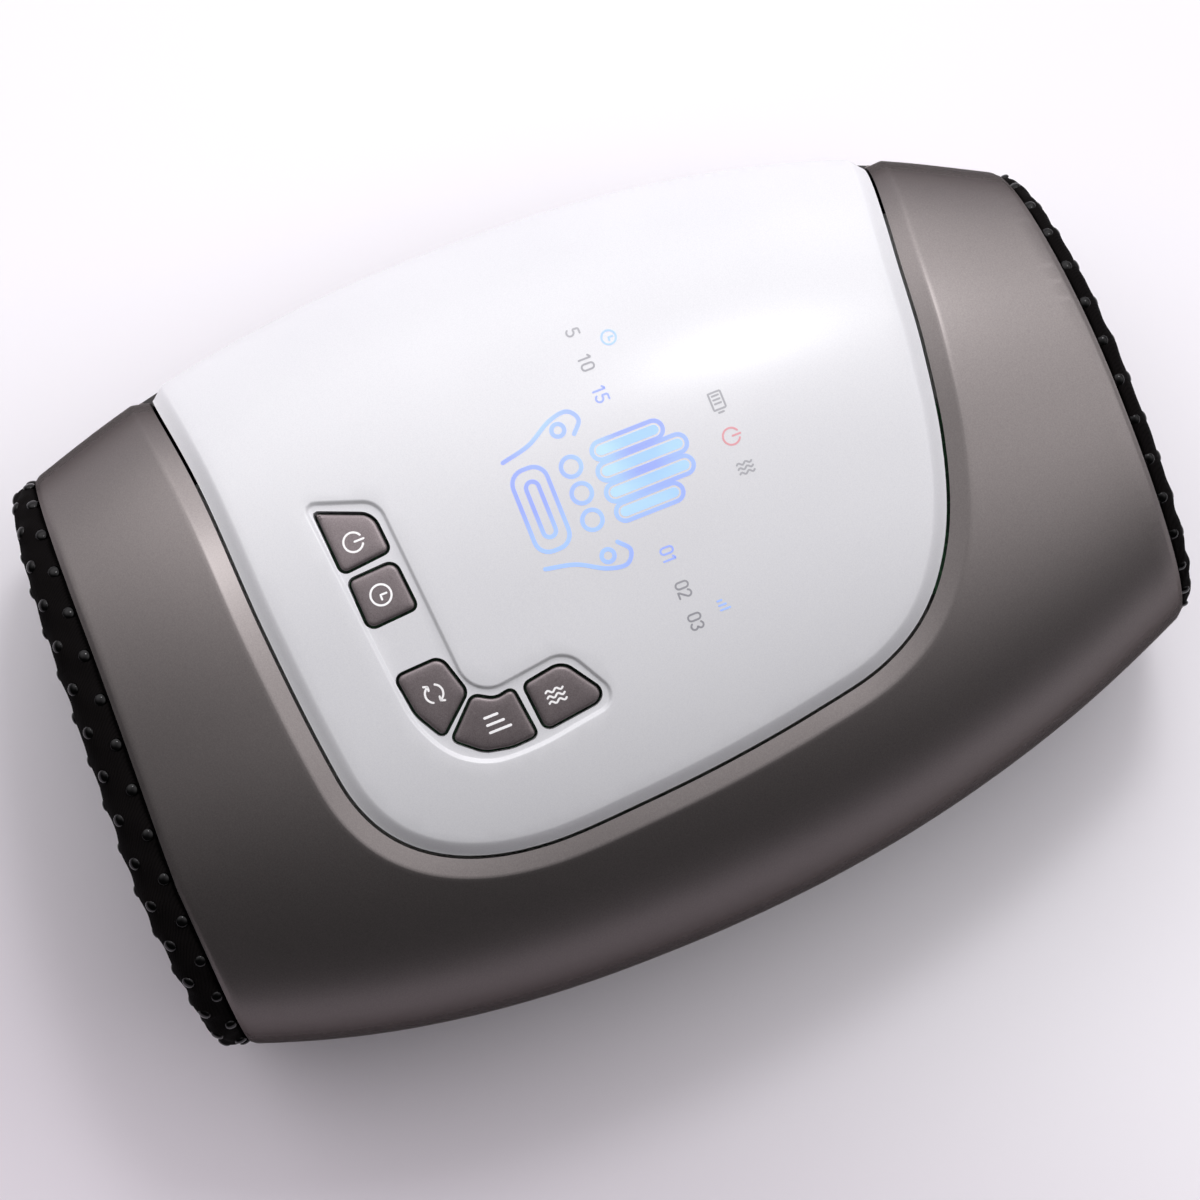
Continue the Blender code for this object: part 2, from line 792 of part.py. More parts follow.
def mouth_size(front):
    # The free opening in a lip: half its width, and its height above and below the middle
    rim = FRONT_RIM_Y if front else REAR_RIM_Y
    thickness = (FRONT_LIP_THICKNESS if front else REAR_LIP_THICKNESS) + WALL
    width = min(half_width(rim) - thickness, CLEAR_HALF_WIDTH + SIDE_PADDING / 2)
    height = min(crown(rim) - thickness - TUNNEL_Z, CLEAR_HALF_HEIGHT * MOUTH_HEIGHT_SHARE)
    return width, height


def liner_size(y):
    # The liner widens or narrows from the tunnel to each mouth
    if y < BAG_FRONT_Y:
        share = (BAG_FRONT_Y - y) / (BAG_FRONT_Y - LIP_FRONT_Y)
    else:
        share = max(0, y - BAG_REAR_Y) / (LIP_REAR_Y - BAG_REAR_Y)
    mouth_width, mouth_height = mouth_size(y < 0)
    ease = share * share * (3 - 2 * share)
    width = CLEAR_HALF_WIDTH + (mouth_width - CLEAR_HALF_WIDTH) * ease
    return width, CLEAR_HALF_HEIGHT + (mouth_height - CLEAR_HALF_HEIGHT) * ease


def half_sleeve(name, coat, side, places, size, wall):
    skins = []
    for inset in (0, wall):
        rows = []
        for y in places:
            width, up, down = size(y)
            edge = math.asin((FIT_GAP / 2 / (up - inset)) ** (TUNNEL_POWER / 2))
            inner = [arch_angle(step) for step in range(1, TUNNEL_ARC_STEPS)]
            angles = [side * angle for angle in (edge, *inner, math.pi - edge)]
            rows.append([oval(y, angle, width - inset, up - inset, down - inset) for angle in angles])
        skins.append(rows)
    return thick_sheet(name, *skins, coat)


def liner_outside(y):
    width, height = liner_size(y)
    return width + LINER_THICKNESS, height + LINER_THICKNESS, height + LINER_THICKNESS


def frame_outside(y):
    width = min(FRAME_HALF_WIDTH, half_width(y) - WALL - FIT_GAP)
    up = min(FRAME_HALF_HEIGHT, crown(y) - WALL - FIT_GAP - TUNNEL_Z)
    down = min(FRAME_HALF_HEIGHT, TUNNEL_Z - base(y) - WALL - FIT_GAP)
    return width, up, down


def lip(name, front):
    rim = FRONT_RIM_Y if front else REAR_RIM_Y
    outward = -1 if front else 1
    reach = FRONT_LIP_REACH if front else REAR_LIP_REACH
    mouth_width, mouth_height = mouth_size(front)
    inboard = -LIP_DEPTH / reach
    profile = ((0.0, inboard), *LIP_SHARES, (1.0, inboard))
    rings = []
    for across, out in profile:
        ring = []
        for step in range(LIP_STEPS):
            angle = 2 * math.pi * step / LIP_STEPS
            side = abs(math.cos(angle)) ** 2 if out > 0 else 0
            y = rim + outward * reach * out * (1 - (1 - LIP_SIDE_SHARE) * side)
            inside_y = y if abs(y) < abs(rim) else rim
            outer = Vector(case_point(inside_y, angle, WALL + LIP_GAP))
            inner = Vector(oval(y, angle, mouth_width, mouth_height, mouth_height))
            place = outer.lerp(inner, across)
            ring.append((place.x, y, place.z))
        rings.append(ring)
    return ring_loft(name, rings, LIP_BLACK, endless=True)


def build_tunnel():
    made = {}
    front_flare = stations(LIP_FRONT_Y + FIT_GAP, BAG_FRONT_Y, FLARE_STEPS)
    rear_flare = stations(BAG_REAR_Y, LIP_REAR_Y - FIT_GAP, FLARE_STEPS)
    liner_places = front_flare + rear_flare
    frame_places = stations(FRAME_FRONT_Y, BAG_FRONT_Y, FLARE_STEPS - 1)
    frame_places += stations(BAG_REAR_Y, FRAME_REAR_Y, FLARE_STEPS - 1)
    layers = (
        ("pressure_plate", PLATE_BLACK, PLATE_DEPTH, PLATE_THICKNESS, PLATE_FREE_STEPS),
        ("airbag", BAG_GREY, AIRBAG_DEPTH, AIRBAG_THICKNESS, BAG_FREE_STEPS),
    )
    sleeves = (
        ("liner", LINER_BLACK, liner_places, liner_outside, LINER_THICKNESS),
        ("tunnel_frame", FRAME_WHITE, frame_places, frame_outside, FRAME_WALL),
    )
    for word, side in (("upper", 1), ("lower", -1)):
        for kind, coat, depth, thickness, free_steps in layers:
            name = word + "_" + kind
            made[name] = layer_sheet(name, coat, side, depth, thickness, free_steps)
        for kind, coat, places, size, wall in sleeves:
            name = word + "_" + kind
            made[name] = half_sleeve(name, coat, side, places, size, wall)
    layer_sheet("heating_film", FILM_AMBER, 1, FILM_DEPTH, FILM_THICKNESS, PLATE_FREE_STEPS)
    lip("front_lip", True)
    lip("rear_lip", False)
    return made


TUNNEL = build_tunnel()
UPPER_FRAME = TUNNEL["upper_tunnel_frame"]


# Keys and their switches


def frame_top(x, y):
    width, up, down = frame_outside(y)
    share = min(1, abs(x) / width)
    return TUNNEL_Z + up * (1 - share**TUNNEL_POWER) ** (1 / TUNNEL_POWER)


def add_post(name, x, y, height):
    # A boss on the upper frame that carries a board
    foot = frame_top(abs(x) + POST_RADIUS, y) - FRAME_WALL / 2
    join(UPPER_FRAME, rod(name, (x, y, foot), (x, y, height), POST_RADIUS, cutter=True, sides=12))


def build_keys():
    for name in KEY_SHARES:
        x, y = key_centre(name)
        switch_z = BOARD_TOP_Z + FIT_GAP
        plunger_top = switch_z + SWITCH_HEIGHT + SWITCH_BUTTON_RISE
        edge = min(case_top(px, py) for px, py in key_outline(name)) - KEY_SINK
        lowest = max(edge - KEY_THICKNESS, plunger_top + FIT_GAP)
        cap = slab(
            name + "_button",
            key_outline(name),
            lambda px, py: case_top(px, py) - KEY_SINK,
            level(lowest),
            KEY_GREY,
            grid=KEY_SIZE / 2,
        )
        stem = rod(
            name + "_stem",
            (x, y, plunger_top + FIT_GAP),
            (x, y, (lowest + edge) / 2),
            KEY_STEM_RADIUS,
            cutter=True,
            sides=12,
        )
        join(cap, stem)
        half = SWITCH_WIDTH / 2
        housing = box(
            name + "_switch",
            (x - half, y - half, switch_z),
            (x + half, y + half, switch_z + SWITCH_HEIGHT),
            SWITCH_BLACK,
        )
        well_floor = switch_z + SWITCH_HEIGHT - SWITCH_BUTTON_DEPTH - KEY_TRAVEL - FIT_GAP
        well = rod(
            name + "_switch_well",
            (x, y, well_floor),
            (x, y, plunger_top),
            SWITCH_BUTTON_RADIUS + FIT_GAP,
            cutter=True,
            sides=12,
        )
        cut(housing, well)
        rod(
            name + "_switch_plunger",
            (x, y, plunger_top - SWITCH_BUTTON_RISE - SWITCH_BUTTON_DEPTH),
            (x, y, plunger_top),
            SWITCH_BUTTON_RADIUS,
            STEEL,
            sides=12,
        )


build_keys()


# Boards


def build_boards():
    board_top, board_low = level(BOARD_TOP_Z), level(BOARD_Z)
    slab("key_board", pocket_outline(), board_top, board_low, BOARD_GREEN)
    for number, (x_share, y_share) in enumerate(KEY_POST_SHARES):
        add_post("key_post_%d" % number, *keypad_place(x_share, y_share), BOARD_Z - FIT_GAP)
    left, right = [x * HALF_WIDTH for x, y in DISPLAY_SHARES]
    front, rear = [y * HALF_LENGTH for x, y in DISPLAY_SHARES]
    notch_x = min(x for x, y in pocket_outline() if y > KEYPAD_Y + KEY_SIZE) - GUIDE_MARGIN
    notch_y = max(y for x, y in pocket_outline()) + GUIDE_MARGIN

    def display_outline(margin):
        low, high = front + margin, rear - margin
        corner = BOARD_CORNER
        places = (
            (left + margin, low),
            (notch_x - margin, low),
            (notch_x - margin, notch_y + margin),
            (right - margin, notch_y + margin),
            (right - margin, high),
            (left + margin, high),
        )
        return rounded([(x, y, corner) for x, y in places], steps=2)

    slab("display_board", display_outline(0.0), board_top, board_low, BOARD_GREEN)
    inset_x, inset_y = (right - left) / 6, (rear - front) / 6
    places = (
        (left + inset_x * 1.5, front + inset_y),
        (left + inset_x * 1.5, rear - inset_y),
        (right - inset_x, rear - inset_y),
        (notch_x - inset_x, front + inset_y),
    )
    for number, (x, y) in enumerate(places):
        add_post("display_post_%d" % number, x, y, BOARD_Z - FIT_GAP)
    guide = slab(
        "light_guide",
        display_outline(GUIDE_MARGIN),
        lambda x, y: case_top(x, y) - WALL - GUIDE_GAP,
        level(BOARD_TOP_Z + FIT_GAP),
        GUIDE_WHITE,
        grid=KEY_SIZE,
    )
    # Three wells, over the lamps of the timer, the figure and the intensity numbers
    rim = GUIDE_MARGIN + WELL_WALL
    well_width = (right - left - 2 * rim - 2 * WELL_WALL) / 3
    for number in range(3):
        low_x = left + rim + (well_width + WELL_WALL) * number
        well = box(
            "light_well_%d" % number,
            (low_x, notch_y + rim, BOARD_Z),
            (low_x + well_width, rear - rim, OVERALL_HEIGHT),
            cutter=True,
        )
        cut(guide, well)


build_boards()


def build_main_board():
    half_x = MAIN_BOARD_WIDTH / 2
    low = DISPLAY_SHARES[1][1] * HALF_LENGTH + MAIN_BOARD_SPACE
    high = FRAME_REAR_Y - MAIN_BOARD_INSET
    middle_y = (low + high) / 2
    outline = rectangle(-half_x, low, half_x, high, BOARD_CORNER)
    board = slab("main_board", outline, level(BOARD_TOP_Z), level(BOARD_Z), BOARD_GREEN)
    for number, side in enumerate((-1, 1)):
        x = side * CHIP_SIZE
        chip = box(
            "chip_%d" % number,
            (x - CHIP_SIZE / 2, middle_y - CHIP_SIZE / 2, BOARD_Z + BOARD_THICKNESS / 2),
            (x + CHIP_SIZE / 2, middle_y + CHIP_SIZE / 2, BOARD_TOP_Z + CHIP_HEIGHT),
            cutter=True,
        )
        join(board, chip)
    inset = POST_RADIUS + BOARD_CORNER
    for number, (side, y) in enumerate(((-1, high - inset), (1, low + inset))):
        x = side * (half_x - inset)
        add_post("main_post_%d" % number, x, y, BOARD_Z - FIT_GAP)
        top = BOARD_TOP_Z + FIT_GAP
        hole = rod(
            "board_hole_%d" % number,
            (x, y, top - BOARD_SCREW_LENGTH - FIT_GAP * 2),
            (x, y, top + FIT_GAP),
            BOARD_SCREW_RADIUS + FIT_GAP,
            cutter=True,
            sides=12,
        )
        cut(board, hole)
        cut(UPPER_FRAME, hole)
        screw = rod(
            "board_screw_%d" % (number + 1),
            (x, y, top - BOARD_SCREW_LENGTH),
            (x, y, top + BOARD_SCREW_HEAD_HEIGHT / 2),
            BOARD_SCREW_RADIUS,
            SCREW_STEEL,
            sides=12,
        )
        head = rod(
            "board_screw_head_%d" % number,
            (x, y, top),
            (x, y, top + BOARD_SCREW_HEAD_HEIGHT),
            BOARD_SCREW_HEAD,
            cutter=True,
            sides=12,
        )
        join(screw, head)


build_main_board()


def build_buzzer():
    y = FRAME_FRONT_Y + BUZZER_INSET
    floor = frame_top(abs(BUZZER_X) - BUZZER_RADIUS, y) + FIT_GAP
    buzzer = rod(
        "buzzer",
        (BUZZER_X, y, floor),
        (BUZZER_X, y, floor + BUZZER_HEIGHT),
        BUZZER_RADIUS,
        SWITCH_BLACK,
        sides=20,
    )
    hole = rod(
        "buzzer_hole",
        (BUZZER_X, y, floor + BUZZER_HEIGHT / 2),
        (BUZZER_X, y, floor + BUZZER_HEIGHT + CUT_OVERRUN),
        BUZZER_HOLE,
        cutter=True,
        sides=12,
    )
    cut(buzzer, hole)


build_buzzer()


# Lower case: bosses, ribs and what they carry

CORE = case_core("case_core", WALL / 2)


def grow(shell, feature):
    # Joins a boss or rib to a case half, cut off at the middle of the case wall
    boolean(feature, CORE, "INTERSECT")
    join(shell, feature)


def rib(name, side, inner_x, outer_x, top, y, notch=None):
    # A wall across the side bay, with its top cut to the piece it carries
    low, high = sorted((side * inner_x, side * outer_x))
    half = RIB_THICKNESS / 2
    wall = box(name, (low, y - half, 0), (high, y + half, top), cutter=True)
    if notch:
        cut(wall, notch)
    grow(LOWER_SHELL, wall)


def bay_rib_edges(y):
    return FRAME_HALF_WIDTH + FIT_GAP * 2, half_width(y)


def build_pump():
    radius = PUMP_DIAMETER / 2
    x = -(FRAME_HALF_WIDTH + PUMP_BAY_MARGIN + radius)
    z = EQUATOR_HEIGHT
    motor_front = PUMP_Y - MOTOR_LENGTH
    motor_rear = PUMP_Y
    head_front = motor_rear + FIT_GAP
    head_rear = head_front + PUMP_HEAD_LENGTH
    motor = rod("pump_motor", (x, motor_front, z), (x, motor_rear, z), radius, STEEL, sides=24)
    bearing = rod(
        "motor_bore",
        (x, motor_rear - SHAFT_LENGTH - FIT_GAP, z),
        (x, motor_rear + CUT_OVERRUN, z),
        SHAFT_RADIUS + FIT_GAP,
        cutter=True,
        sides=12,
    )
    cut(motor, bearing)
    head = rod("pump_head", (x, head_front, z), (x, head_rear, z), radius, FRAME_WHITE, sides=24)
    hollow = rod(
        "pump_hollow",
        (x, head_front - CUT_OVERRUN, z),
        (x, head_front + PUMP_CUP_DEPTH, z),
        radius - PUMP_CUP_WALL,
        cutter=True,
        sides=24,
    )
    cut(head, hollow)
    nozzle = rod(
        "pump_nozzle",
        (x, head_rear - NOZZLE_REACH, z),
        (x, head_rear + NOZZLE_REACH, z),
        NOZZLE_RADIUS,
        cutter=True,
        sides=12,
    )
    join(head, nozzle)
    crank_front = motor_rear + PUMP_CUP_DEPTH / 3
    crank = rod(
        "pump_crank",
        (x, crank_front, z),
        (x, crank_front + CRANK_THICKNESS, z),
        CRANK_RADIUS,
        STEEL,
        sides=20,
    )
    shaft = rod(
        "crank_shaft",
        (x, motor_rear - SHAFT_LENGTH, z),
        (x, crank_front + CRANK_THICKNESS / 2, z),
        SHAFT_RADIUS,
        cutter=True,
        sides=12,
    )
    throw = CRANK_RADIUS - CRANK_PIN_RADIUS * 2
    pin = rod(
        "crank_pin",
        (x, crank_front + CRANK_THICKNESS / 2, z + throw),
        (x, crank_front + CRANK_THICKNESS + CRANK_PIN_LENGTH, z + throw),
        CRANK_PIN_RADIUS,
        cutter=True,
        sides=12,
    )
    join(crank, shaft, pin)
    seat = rod(
        "pump_seat",
        (x, motor_front - CUT_OVERRUN, z),
        (x, head_rear + CUT_OVERRUN, z),
        radius + FIT_GAP,
        cutter=True,
        sides=24,
    )
    for number, y in enumerate((motor_front + MOTOR_LENGTH / 3, head_rear - PUMP_HEAD_LENGTH / 3)):
        inner, outer = bay_rib_edges(y)
        rib("pump_rib_%d" % number, -1, inner, outer, PARTING_Z - FIT_GAP, y, notch=seat)
    middle = motor_front + MOTOR_LENGTH / 3
    hoop = []
    hoop_steps = 14
    for reach in (radius + FIT_GAP, radius + FIT_GAP + CLAMP_WALL):
        low = -math.asin(PARTING_DROP / reach)
        turns = [low + (math.pi - 2 * low) * step / hoop_steps for step in range(hoop_steps + 1)]
        rows = []
        for y in (middle - CLAMP_WIDTH / 2, middle + CLAMP_WIDTH / 2):
            rows.append([(x + reach * math.cos(turn), y, z + reach * math.sin(turn)) for turn in turns])
        hoop.append(rows)
    thick_sheet("pump_clamp", *hoop, STEEL)
    return x, head_rear + NOZZLE_REACH, z


PUMP_OUTLET = build_pump()


def build_valves():
    x = -(FRAME_HALF_WIDTH + PUMP_BAY_MARGIN + VALVE_WIDTH / 2)
    bottom = EQUATOR_HEIGHT - VALVE_HEIGHT / 2
    middle = bottom + VALVE_HEIGHT / 2
    for number, name in enumerate(("pressure_valve", "release_valve")):
        front = VALVE_Y + number * VALVE_SPACING
        rear = front + VALVE_LENGTH
        body = box(
            name,
            (x - VALVE_WIDTH / 2, front, bottom),
            (x + VALVE_WIDTH / 2, rear, bottom + VALVE_HEIGHT),
            STEEL,
        )
        well = rod(
            name + "_well",
            (x, front - CUT_OVERRUN, middle),
            (x, front + PLUNGER_LENGTH + PLUNGER_TRAVEL, middle),
            PLUNGER_RADIUS + FIT_GAP,
            cutter=True,
            sides=12,
        )
        cut(body, well)
        rod(
            name + "_plunger",
            (x, front - PLUNGER_TRAVEL, middle),
            (x, front + PLUNGER_LENGTH - PLUNGER_TRAVEL, middle),
            PLUNGER_RADIUS,
            SCREW_STEEL,
            sides=12,
        )
        inner, outer = bay_rib_edges(front)
        centre = (front + rear) / 2
        rib("valve_rib_%d" % number, -1, inner, -x + VALVE_WIDTH / 2, bottom - FIT_GAP, centre)
    deck = bottom + VALVE_HEIGHT + FIT_GAP
    half = MANIFOLD_LENGTH / 2
    centre = VALVE_Y + (VALVE_SPACING + VALVE_LENGTH) / 2
    low = (x - VALVE_WIDTH / 2, centre - half, deck)
    high = (x + VALVE_WIDTH / 2, centre + half, deck + MANIFOLD_HEIGHT)
    manifold = box("air_manifold", low, high, FRAME_WHITE)
    middle_z = deck + MANIFOLD_HEIGHT / 2
    inlet = (x, centre - half - NOZZLE_REACH, middle_z)
    inner_x, outer_x = x + VALVE_WIDTH / 4, x - VALVE_WIDTH / 4
    outlets = [(place, centre + half + NOZZLE_REACH, middle_z) for place in (inner_x, outer_x)]
    starts = ((x, -half / 2), (inner_x, half / 2), (outer_x, half / 2))
    for number, ((place, step), tip) in enumerate(zip(starts, (inlet, *outlets))):
        root = (place, centre + step, middle_z)
        join(manifold, rod("air_nozzle_%d" % number, root, tip, NOZZLE_RADIUS, cutter=True, sides=12))
    return inlet, outlets


MANIFOLD_INLET, MANIFOLD_OUTLETS = build_valves()


def build_battery():
    radius = CELL_DIAMETER / 2
    x = FRAME_HALF_WIDTH + PUMP_BAY_MARGIN + TRAY_WALL + FIT_GAP + radius
    pitch = CELL_DIAMETER + CELL_SPACE
    front, rear = CELL_Y - CELL_LENGTH / 2, CELL_Y + CELL_LENGTH / 2
    for number, share in enumerate((-0.5, 0.5)):
        z = EQUATOR_HEIGHT + share * pitch
        name = "battery_cell_%d" % (number + 1)
        cell = rod(name, (x, front, z), (x, rear, z), radius, CELL_BLUE, sides=24)
        cap = rod(
            "cell_cap_%d" % number,
            (x, rear - radius, z),
            (x, rear + CELL_SPACE, z),
            radius / 3,
            cutter=True,
            sides=12,
        )
        join(cell, cap)
    slack = FIT_GAP + CELL_SPACE
    floor = EQUATOR_HEIGHT - pitch / 2 - radius - FIT_GAP
    inner, outer = x - radius - FIT_GAP - TRAY_WALL, x + radius * TRAY_SHELF_SHARE
    top = EQUATOR_HEIGHT + pitch / 2
    low = (inner, front - slack - TRAY_WALL, floor - TRAY_WALL)
    tray = box("battery_tray", low, (outer, rear + slack + TRAY_WALL, top), FRAME_WHITE)
    hollow = box(
        "tray_hollow",
        (inner + TRAY_WALL, front - slack, floor),
        (outer + CUT_OVERRUN, rear + slack, top + CUT_OVERRUN),
        cutter=True,
    )
    cut(tray, hollow)
    for number, y in enumerate((front + CELL_LENGTH / 5, rear - CELL_LENGTH / 5)):
        low_x, high_x = bay_rib_edges(y)
        rib("tray_rib_%d" % number, 1, low_x, outer, floor - TRAY_WALL - FIT_GAP, y)


build_battery()


def build_bosses():
    number = 0
    for y in (FRONT_RIM_Y + BOSS_FRONT_INSET, REAR_RIM_Y - BOSS_REAR_INSET):
        for side in (-1, 1):
            number += 1
            x = side * (half_width(y) - WALL - BOSS_INSET)
            lower = rod(
                "lower_boss_%d" % number,
                (x, y, 0),
                (x, y, PARTING_Z - FIT_GAP),
                BOSS_RADIUS,
                cutter=True,
            )
            grow(LOWER_SHELL, lower)
            upper = rod(
                "upper_boss_%d" % number,
                (x, y, PARTING_Z),
                (x, y, OVERALL_HEIGHT),
                BOSS_RADIUS,
                cutter=True,
            )
            grow(UPPER_SHELL, upper)
            tip = PARTING_Z + SCREW_BITE
            seat = tip - SCREW_LENGTH
            hole = rod(
                "screw_hole_%d" % number,
                (x, y, seat - CUT_OVERRUN),
                (x, y, tip + FIT_GAP),
                SCREW_RADIUS + FIT_GAP,
                cutter=True,
                sides=12,
            )
            well = rod(
                "screw_well_%d" % number,
                (x, y, -CUT_OVERRUN),
                (x, y, seat + FIT_GAP),
                SCREW_HEAD_RADIUS + FIT_GAP,
                cutter=True,
            )
            cut(LOWER_SHELL, hole, well)
            cut(UPPER_SHELL, hole)
            screw = rod(
                "case_screw_%d" % number,
                (x, y, seat - SCREW_HEAD_HEIGHT / 2),
                (x, y, tip),
                SCREW_RADIUS,
                SCREW_STEEL,
                sides=12,
            )
            head = rod(
                "screw_head_%d" % number,
                (x, y, seat - SCREW_HEAD_HEIGHT),
                (x, y, seat),
                SCREW_HEAD_RADIUS,
                cutter=True,
            )
            join(screw, head)


build_bosses()


def build_feet():
    for row, y in (("front", -FOOT_Y), ("rear", FOOT_Y)):
        for column, x in (("left", -FOOT_X), ("right", FOOT_X)):
            rod(
                "foot_%s_%s" % (row, column),
                (x, y, 0),
                (x, y, FOOT_HEIGHT),
                FOOT_RADIUS - FOOT_EDGE,
                RUBBER,
                sides=24,
                end_radius=FOOT_RADIUS,
            )


build_feet()


def build_port():
    z = EQUATOR_HEIGHT - PORT_DROP
    reach = half_width(PORT_Y)
    drop_share = PORT_DROP / ((EQUATOR_HEIGHT - base(PORT_Y)) * BASE_FULLNESS)
    face = reach * (1 - drop_share**LOWER_POWER) ** (1 / LOWER_POWER) - WALL / 2
    low = (face - PORT_DEPTH, PORT_Y - PORT_WIDTH / 2, z - PORT_HEIGHT / 2)
    high = (face, PORT_Y + PORT_WIDTH / 2, z + PORT_HEIGHT / 2)
    port = box("charging_socket", low, high, STEEL)
    mouth = box(
        "socket_mouth",
        (face - PORT_DEPTH + PORT_WALL * 2, low[1] + PORT_WALL, low[2] + PORT_WALL),
        (face + CUT_OVERRUN, high[1] - PORT_WALL, high[2] - PORT_WALL),
        cutter=True,
    )
    tongue = box(
        "socket_tongue",
        (face - PORT_DEPTH + PORT_WALL, low[1] + PORT_WIDTH / 4, z - PORT_WALL),
        (face - PORT_WALL * 3, high[1] - PORT_WIDTH / 4, z + PORT_WALL),
        cutter=True,
    )
    cut(port, mouth)
    join(port, tongue)
    opening = box(
        "socket_opening",
        (face - PORT_DEPTH / 2, low[1] - FIT_GAP, low[2] - FIT_GAP),
        (reach + CUT_OVERRUN, high[1] + FIT_GAP, high[2] + FIT_GAP),
        cutter=True,
    )
    cut(LOWER_SHELL, opening)
    rib("socket_rib", 1, face - PORT_DEPTH, face, low[2] - FIT_GAP, PORT_Y)


build_port()


# Air hoses


def bag_nozzle(word, side):
    # The bag's air nozzle leaves sideways through a hole in the frame
    y = BAG_REAR_Y - NOZZLE_REACH * 1.5
    width, height = layer_size(AIRBAG_DEPTH + AIRBAG_THICKNESS / 2)
    angle = arch_angle(TUNNEL_ARC_STEPS - BAG_FREE_STEPS - 1)
    x, y, z = oval(y, side * angle, width, height, height)
    tip = -FRAME_HALF_WIDTH + FIT_GAP
    join(
        TUNNEL[word + "_airbag"],
        rod(word + "_bag_nozzle", (x, y, z), (tip, y, z), NOZZLE_RADIUS, cutter=True, sides=12),
    )
    hole = rod(
        word + "_nozzle_hole",
        (x, y, z),
        (-FRAME_HALF_WIDTH - CUT_OVERRUN, y, z),
        NOZZLE_RADIUS + FIT_GAP,
        cutter=True,
        sides=12,
    )
    cut(TUNNEL[word + "_tunnel_frame"], hole)
    return tip - FIT_GAP, y, z


def build_hoses():
    reach = Vector((0, NOZZLE_REACH, 0))
    start = Vector(PUMP_OUTLET) + Vector((0, FIT_GAP, 0))
    end = Vector(MANIFOLD_INLET) - Vector((0, FIT_GAP, 0))
    hose("pump_hose", (start, start + reach, end - reach, end), HOSE_RADIUS, HOSE_CLEAR)
    for word, side, outlet in zip(("upper", "lower"), (1, -1), MANIFOLD_OUTLETS):
        first = Vector(outlet) + Vector((0, FIT_GAP, 0))
        last = Vector(bag_nozzle(word, side))
        turn = max(last.y, first.y + NOZZLE_REACH)
        bends = (first.x, turn, first.z), (last.x - NOZZLE_REACH, turn, last.z)
        hose(word + "_bag_hose", (first, *bends, last), HOSE_RADIUS, HOSE_CLEAR)


build_hoses()
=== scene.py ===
import json
import math

import bmesh
import bpy
from mathutils import Matrix, Vector, kdtree
from mathutils.geometry import delaunay_2d_cdt


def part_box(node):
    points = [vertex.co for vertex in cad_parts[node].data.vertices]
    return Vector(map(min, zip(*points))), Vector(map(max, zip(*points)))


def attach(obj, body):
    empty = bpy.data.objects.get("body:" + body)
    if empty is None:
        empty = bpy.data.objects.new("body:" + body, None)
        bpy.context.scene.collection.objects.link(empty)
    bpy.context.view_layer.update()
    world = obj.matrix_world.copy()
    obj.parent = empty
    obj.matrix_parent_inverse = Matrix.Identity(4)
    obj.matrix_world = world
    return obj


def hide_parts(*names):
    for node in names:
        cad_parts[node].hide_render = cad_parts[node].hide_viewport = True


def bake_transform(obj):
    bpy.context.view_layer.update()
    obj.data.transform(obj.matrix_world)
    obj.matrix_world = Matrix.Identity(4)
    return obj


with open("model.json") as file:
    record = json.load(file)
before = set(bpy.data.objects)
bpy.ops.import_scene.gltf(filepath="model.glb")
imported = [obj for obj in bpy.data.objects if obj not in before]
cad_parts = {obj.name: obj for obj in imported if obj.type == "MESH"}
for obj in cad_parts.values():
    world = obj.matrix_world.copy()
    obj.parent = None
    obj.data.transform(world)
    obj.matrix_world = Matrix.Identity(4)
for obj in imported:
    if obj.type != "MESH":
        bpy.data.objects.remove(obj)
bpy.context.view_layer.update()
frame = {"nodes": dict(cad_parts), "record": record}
mm = 0.001

# Case form, as in the CAD: superellipse sections, widest at the equator, that shrink towards both rims
case = {
    "halfLength": 0.1335,
    "halfWidth": 0.088,
    "height": 0.104,
    "widestY": -0.020,
    "frontRim": -0.1235,
    "rearRim": 0.1255,
    "frontTaper": (0.0168, 0.0150, 2.3),  # width lost, crown lost, power
    "rearTaper": (0.0300, 0.0160, 2.15),
    # The photo's left side is fuller: half width, then width lost and power, in front and behind
    "left": (0.0913, (0.0162, 2.0), (0.0321, 2.45)),
    "equator": 0.045,
    "parting": 0.040,
    "base": 0.0033,
    "baseRise": 0.006,
    "baseFlat": 0.085,
    "upperPower": 2.35,
    "lowerPower": 3.2,
    "baseFullness": 1.10,
    "wall": 0.0025,
    "blur": 0.0012,  # softens the line where the flank meets the flat base
    "arcScale": 0.080,  # metres of surface per radian of the section's angle
}


def towardsRim(y):
    # Whether y lies in the front part, and how far towards that part's rim
    if y < case["widestY"]:
        return True, (case["widestY"] - y) / (case["widestY"] - case["frontRim"])
    return False, (y - case["widestY"]) / (case["rearRim"] - case["widestY"])


def halfWidthAt(y, side=1):
    front, reach = towardsRim(y)
    if side < 0:
        lost, power = case["left"][1 if front else 2]
        return case["left"][0] - lost * reach**power
    values = case["frontTaper" if front else "rearTaper"]
    return case["halfWidth"] - values[0] * reach ** values[2]


def crownAt(y):
    front, reach = towardsRim(y)
    values = case["frontTaper" if front else "rearTaper"]
    return case["height"] - values[1] * reach ** values[2]


def baseAt(y):
    rim = -case["frontRim"] if y < 0 else case["rearRim"]
    share = max(0, abs(y) - case["baseFlat"]) / (rim - case["baseFlat"])
    return case["base"] + case["baseRise"] * share**2


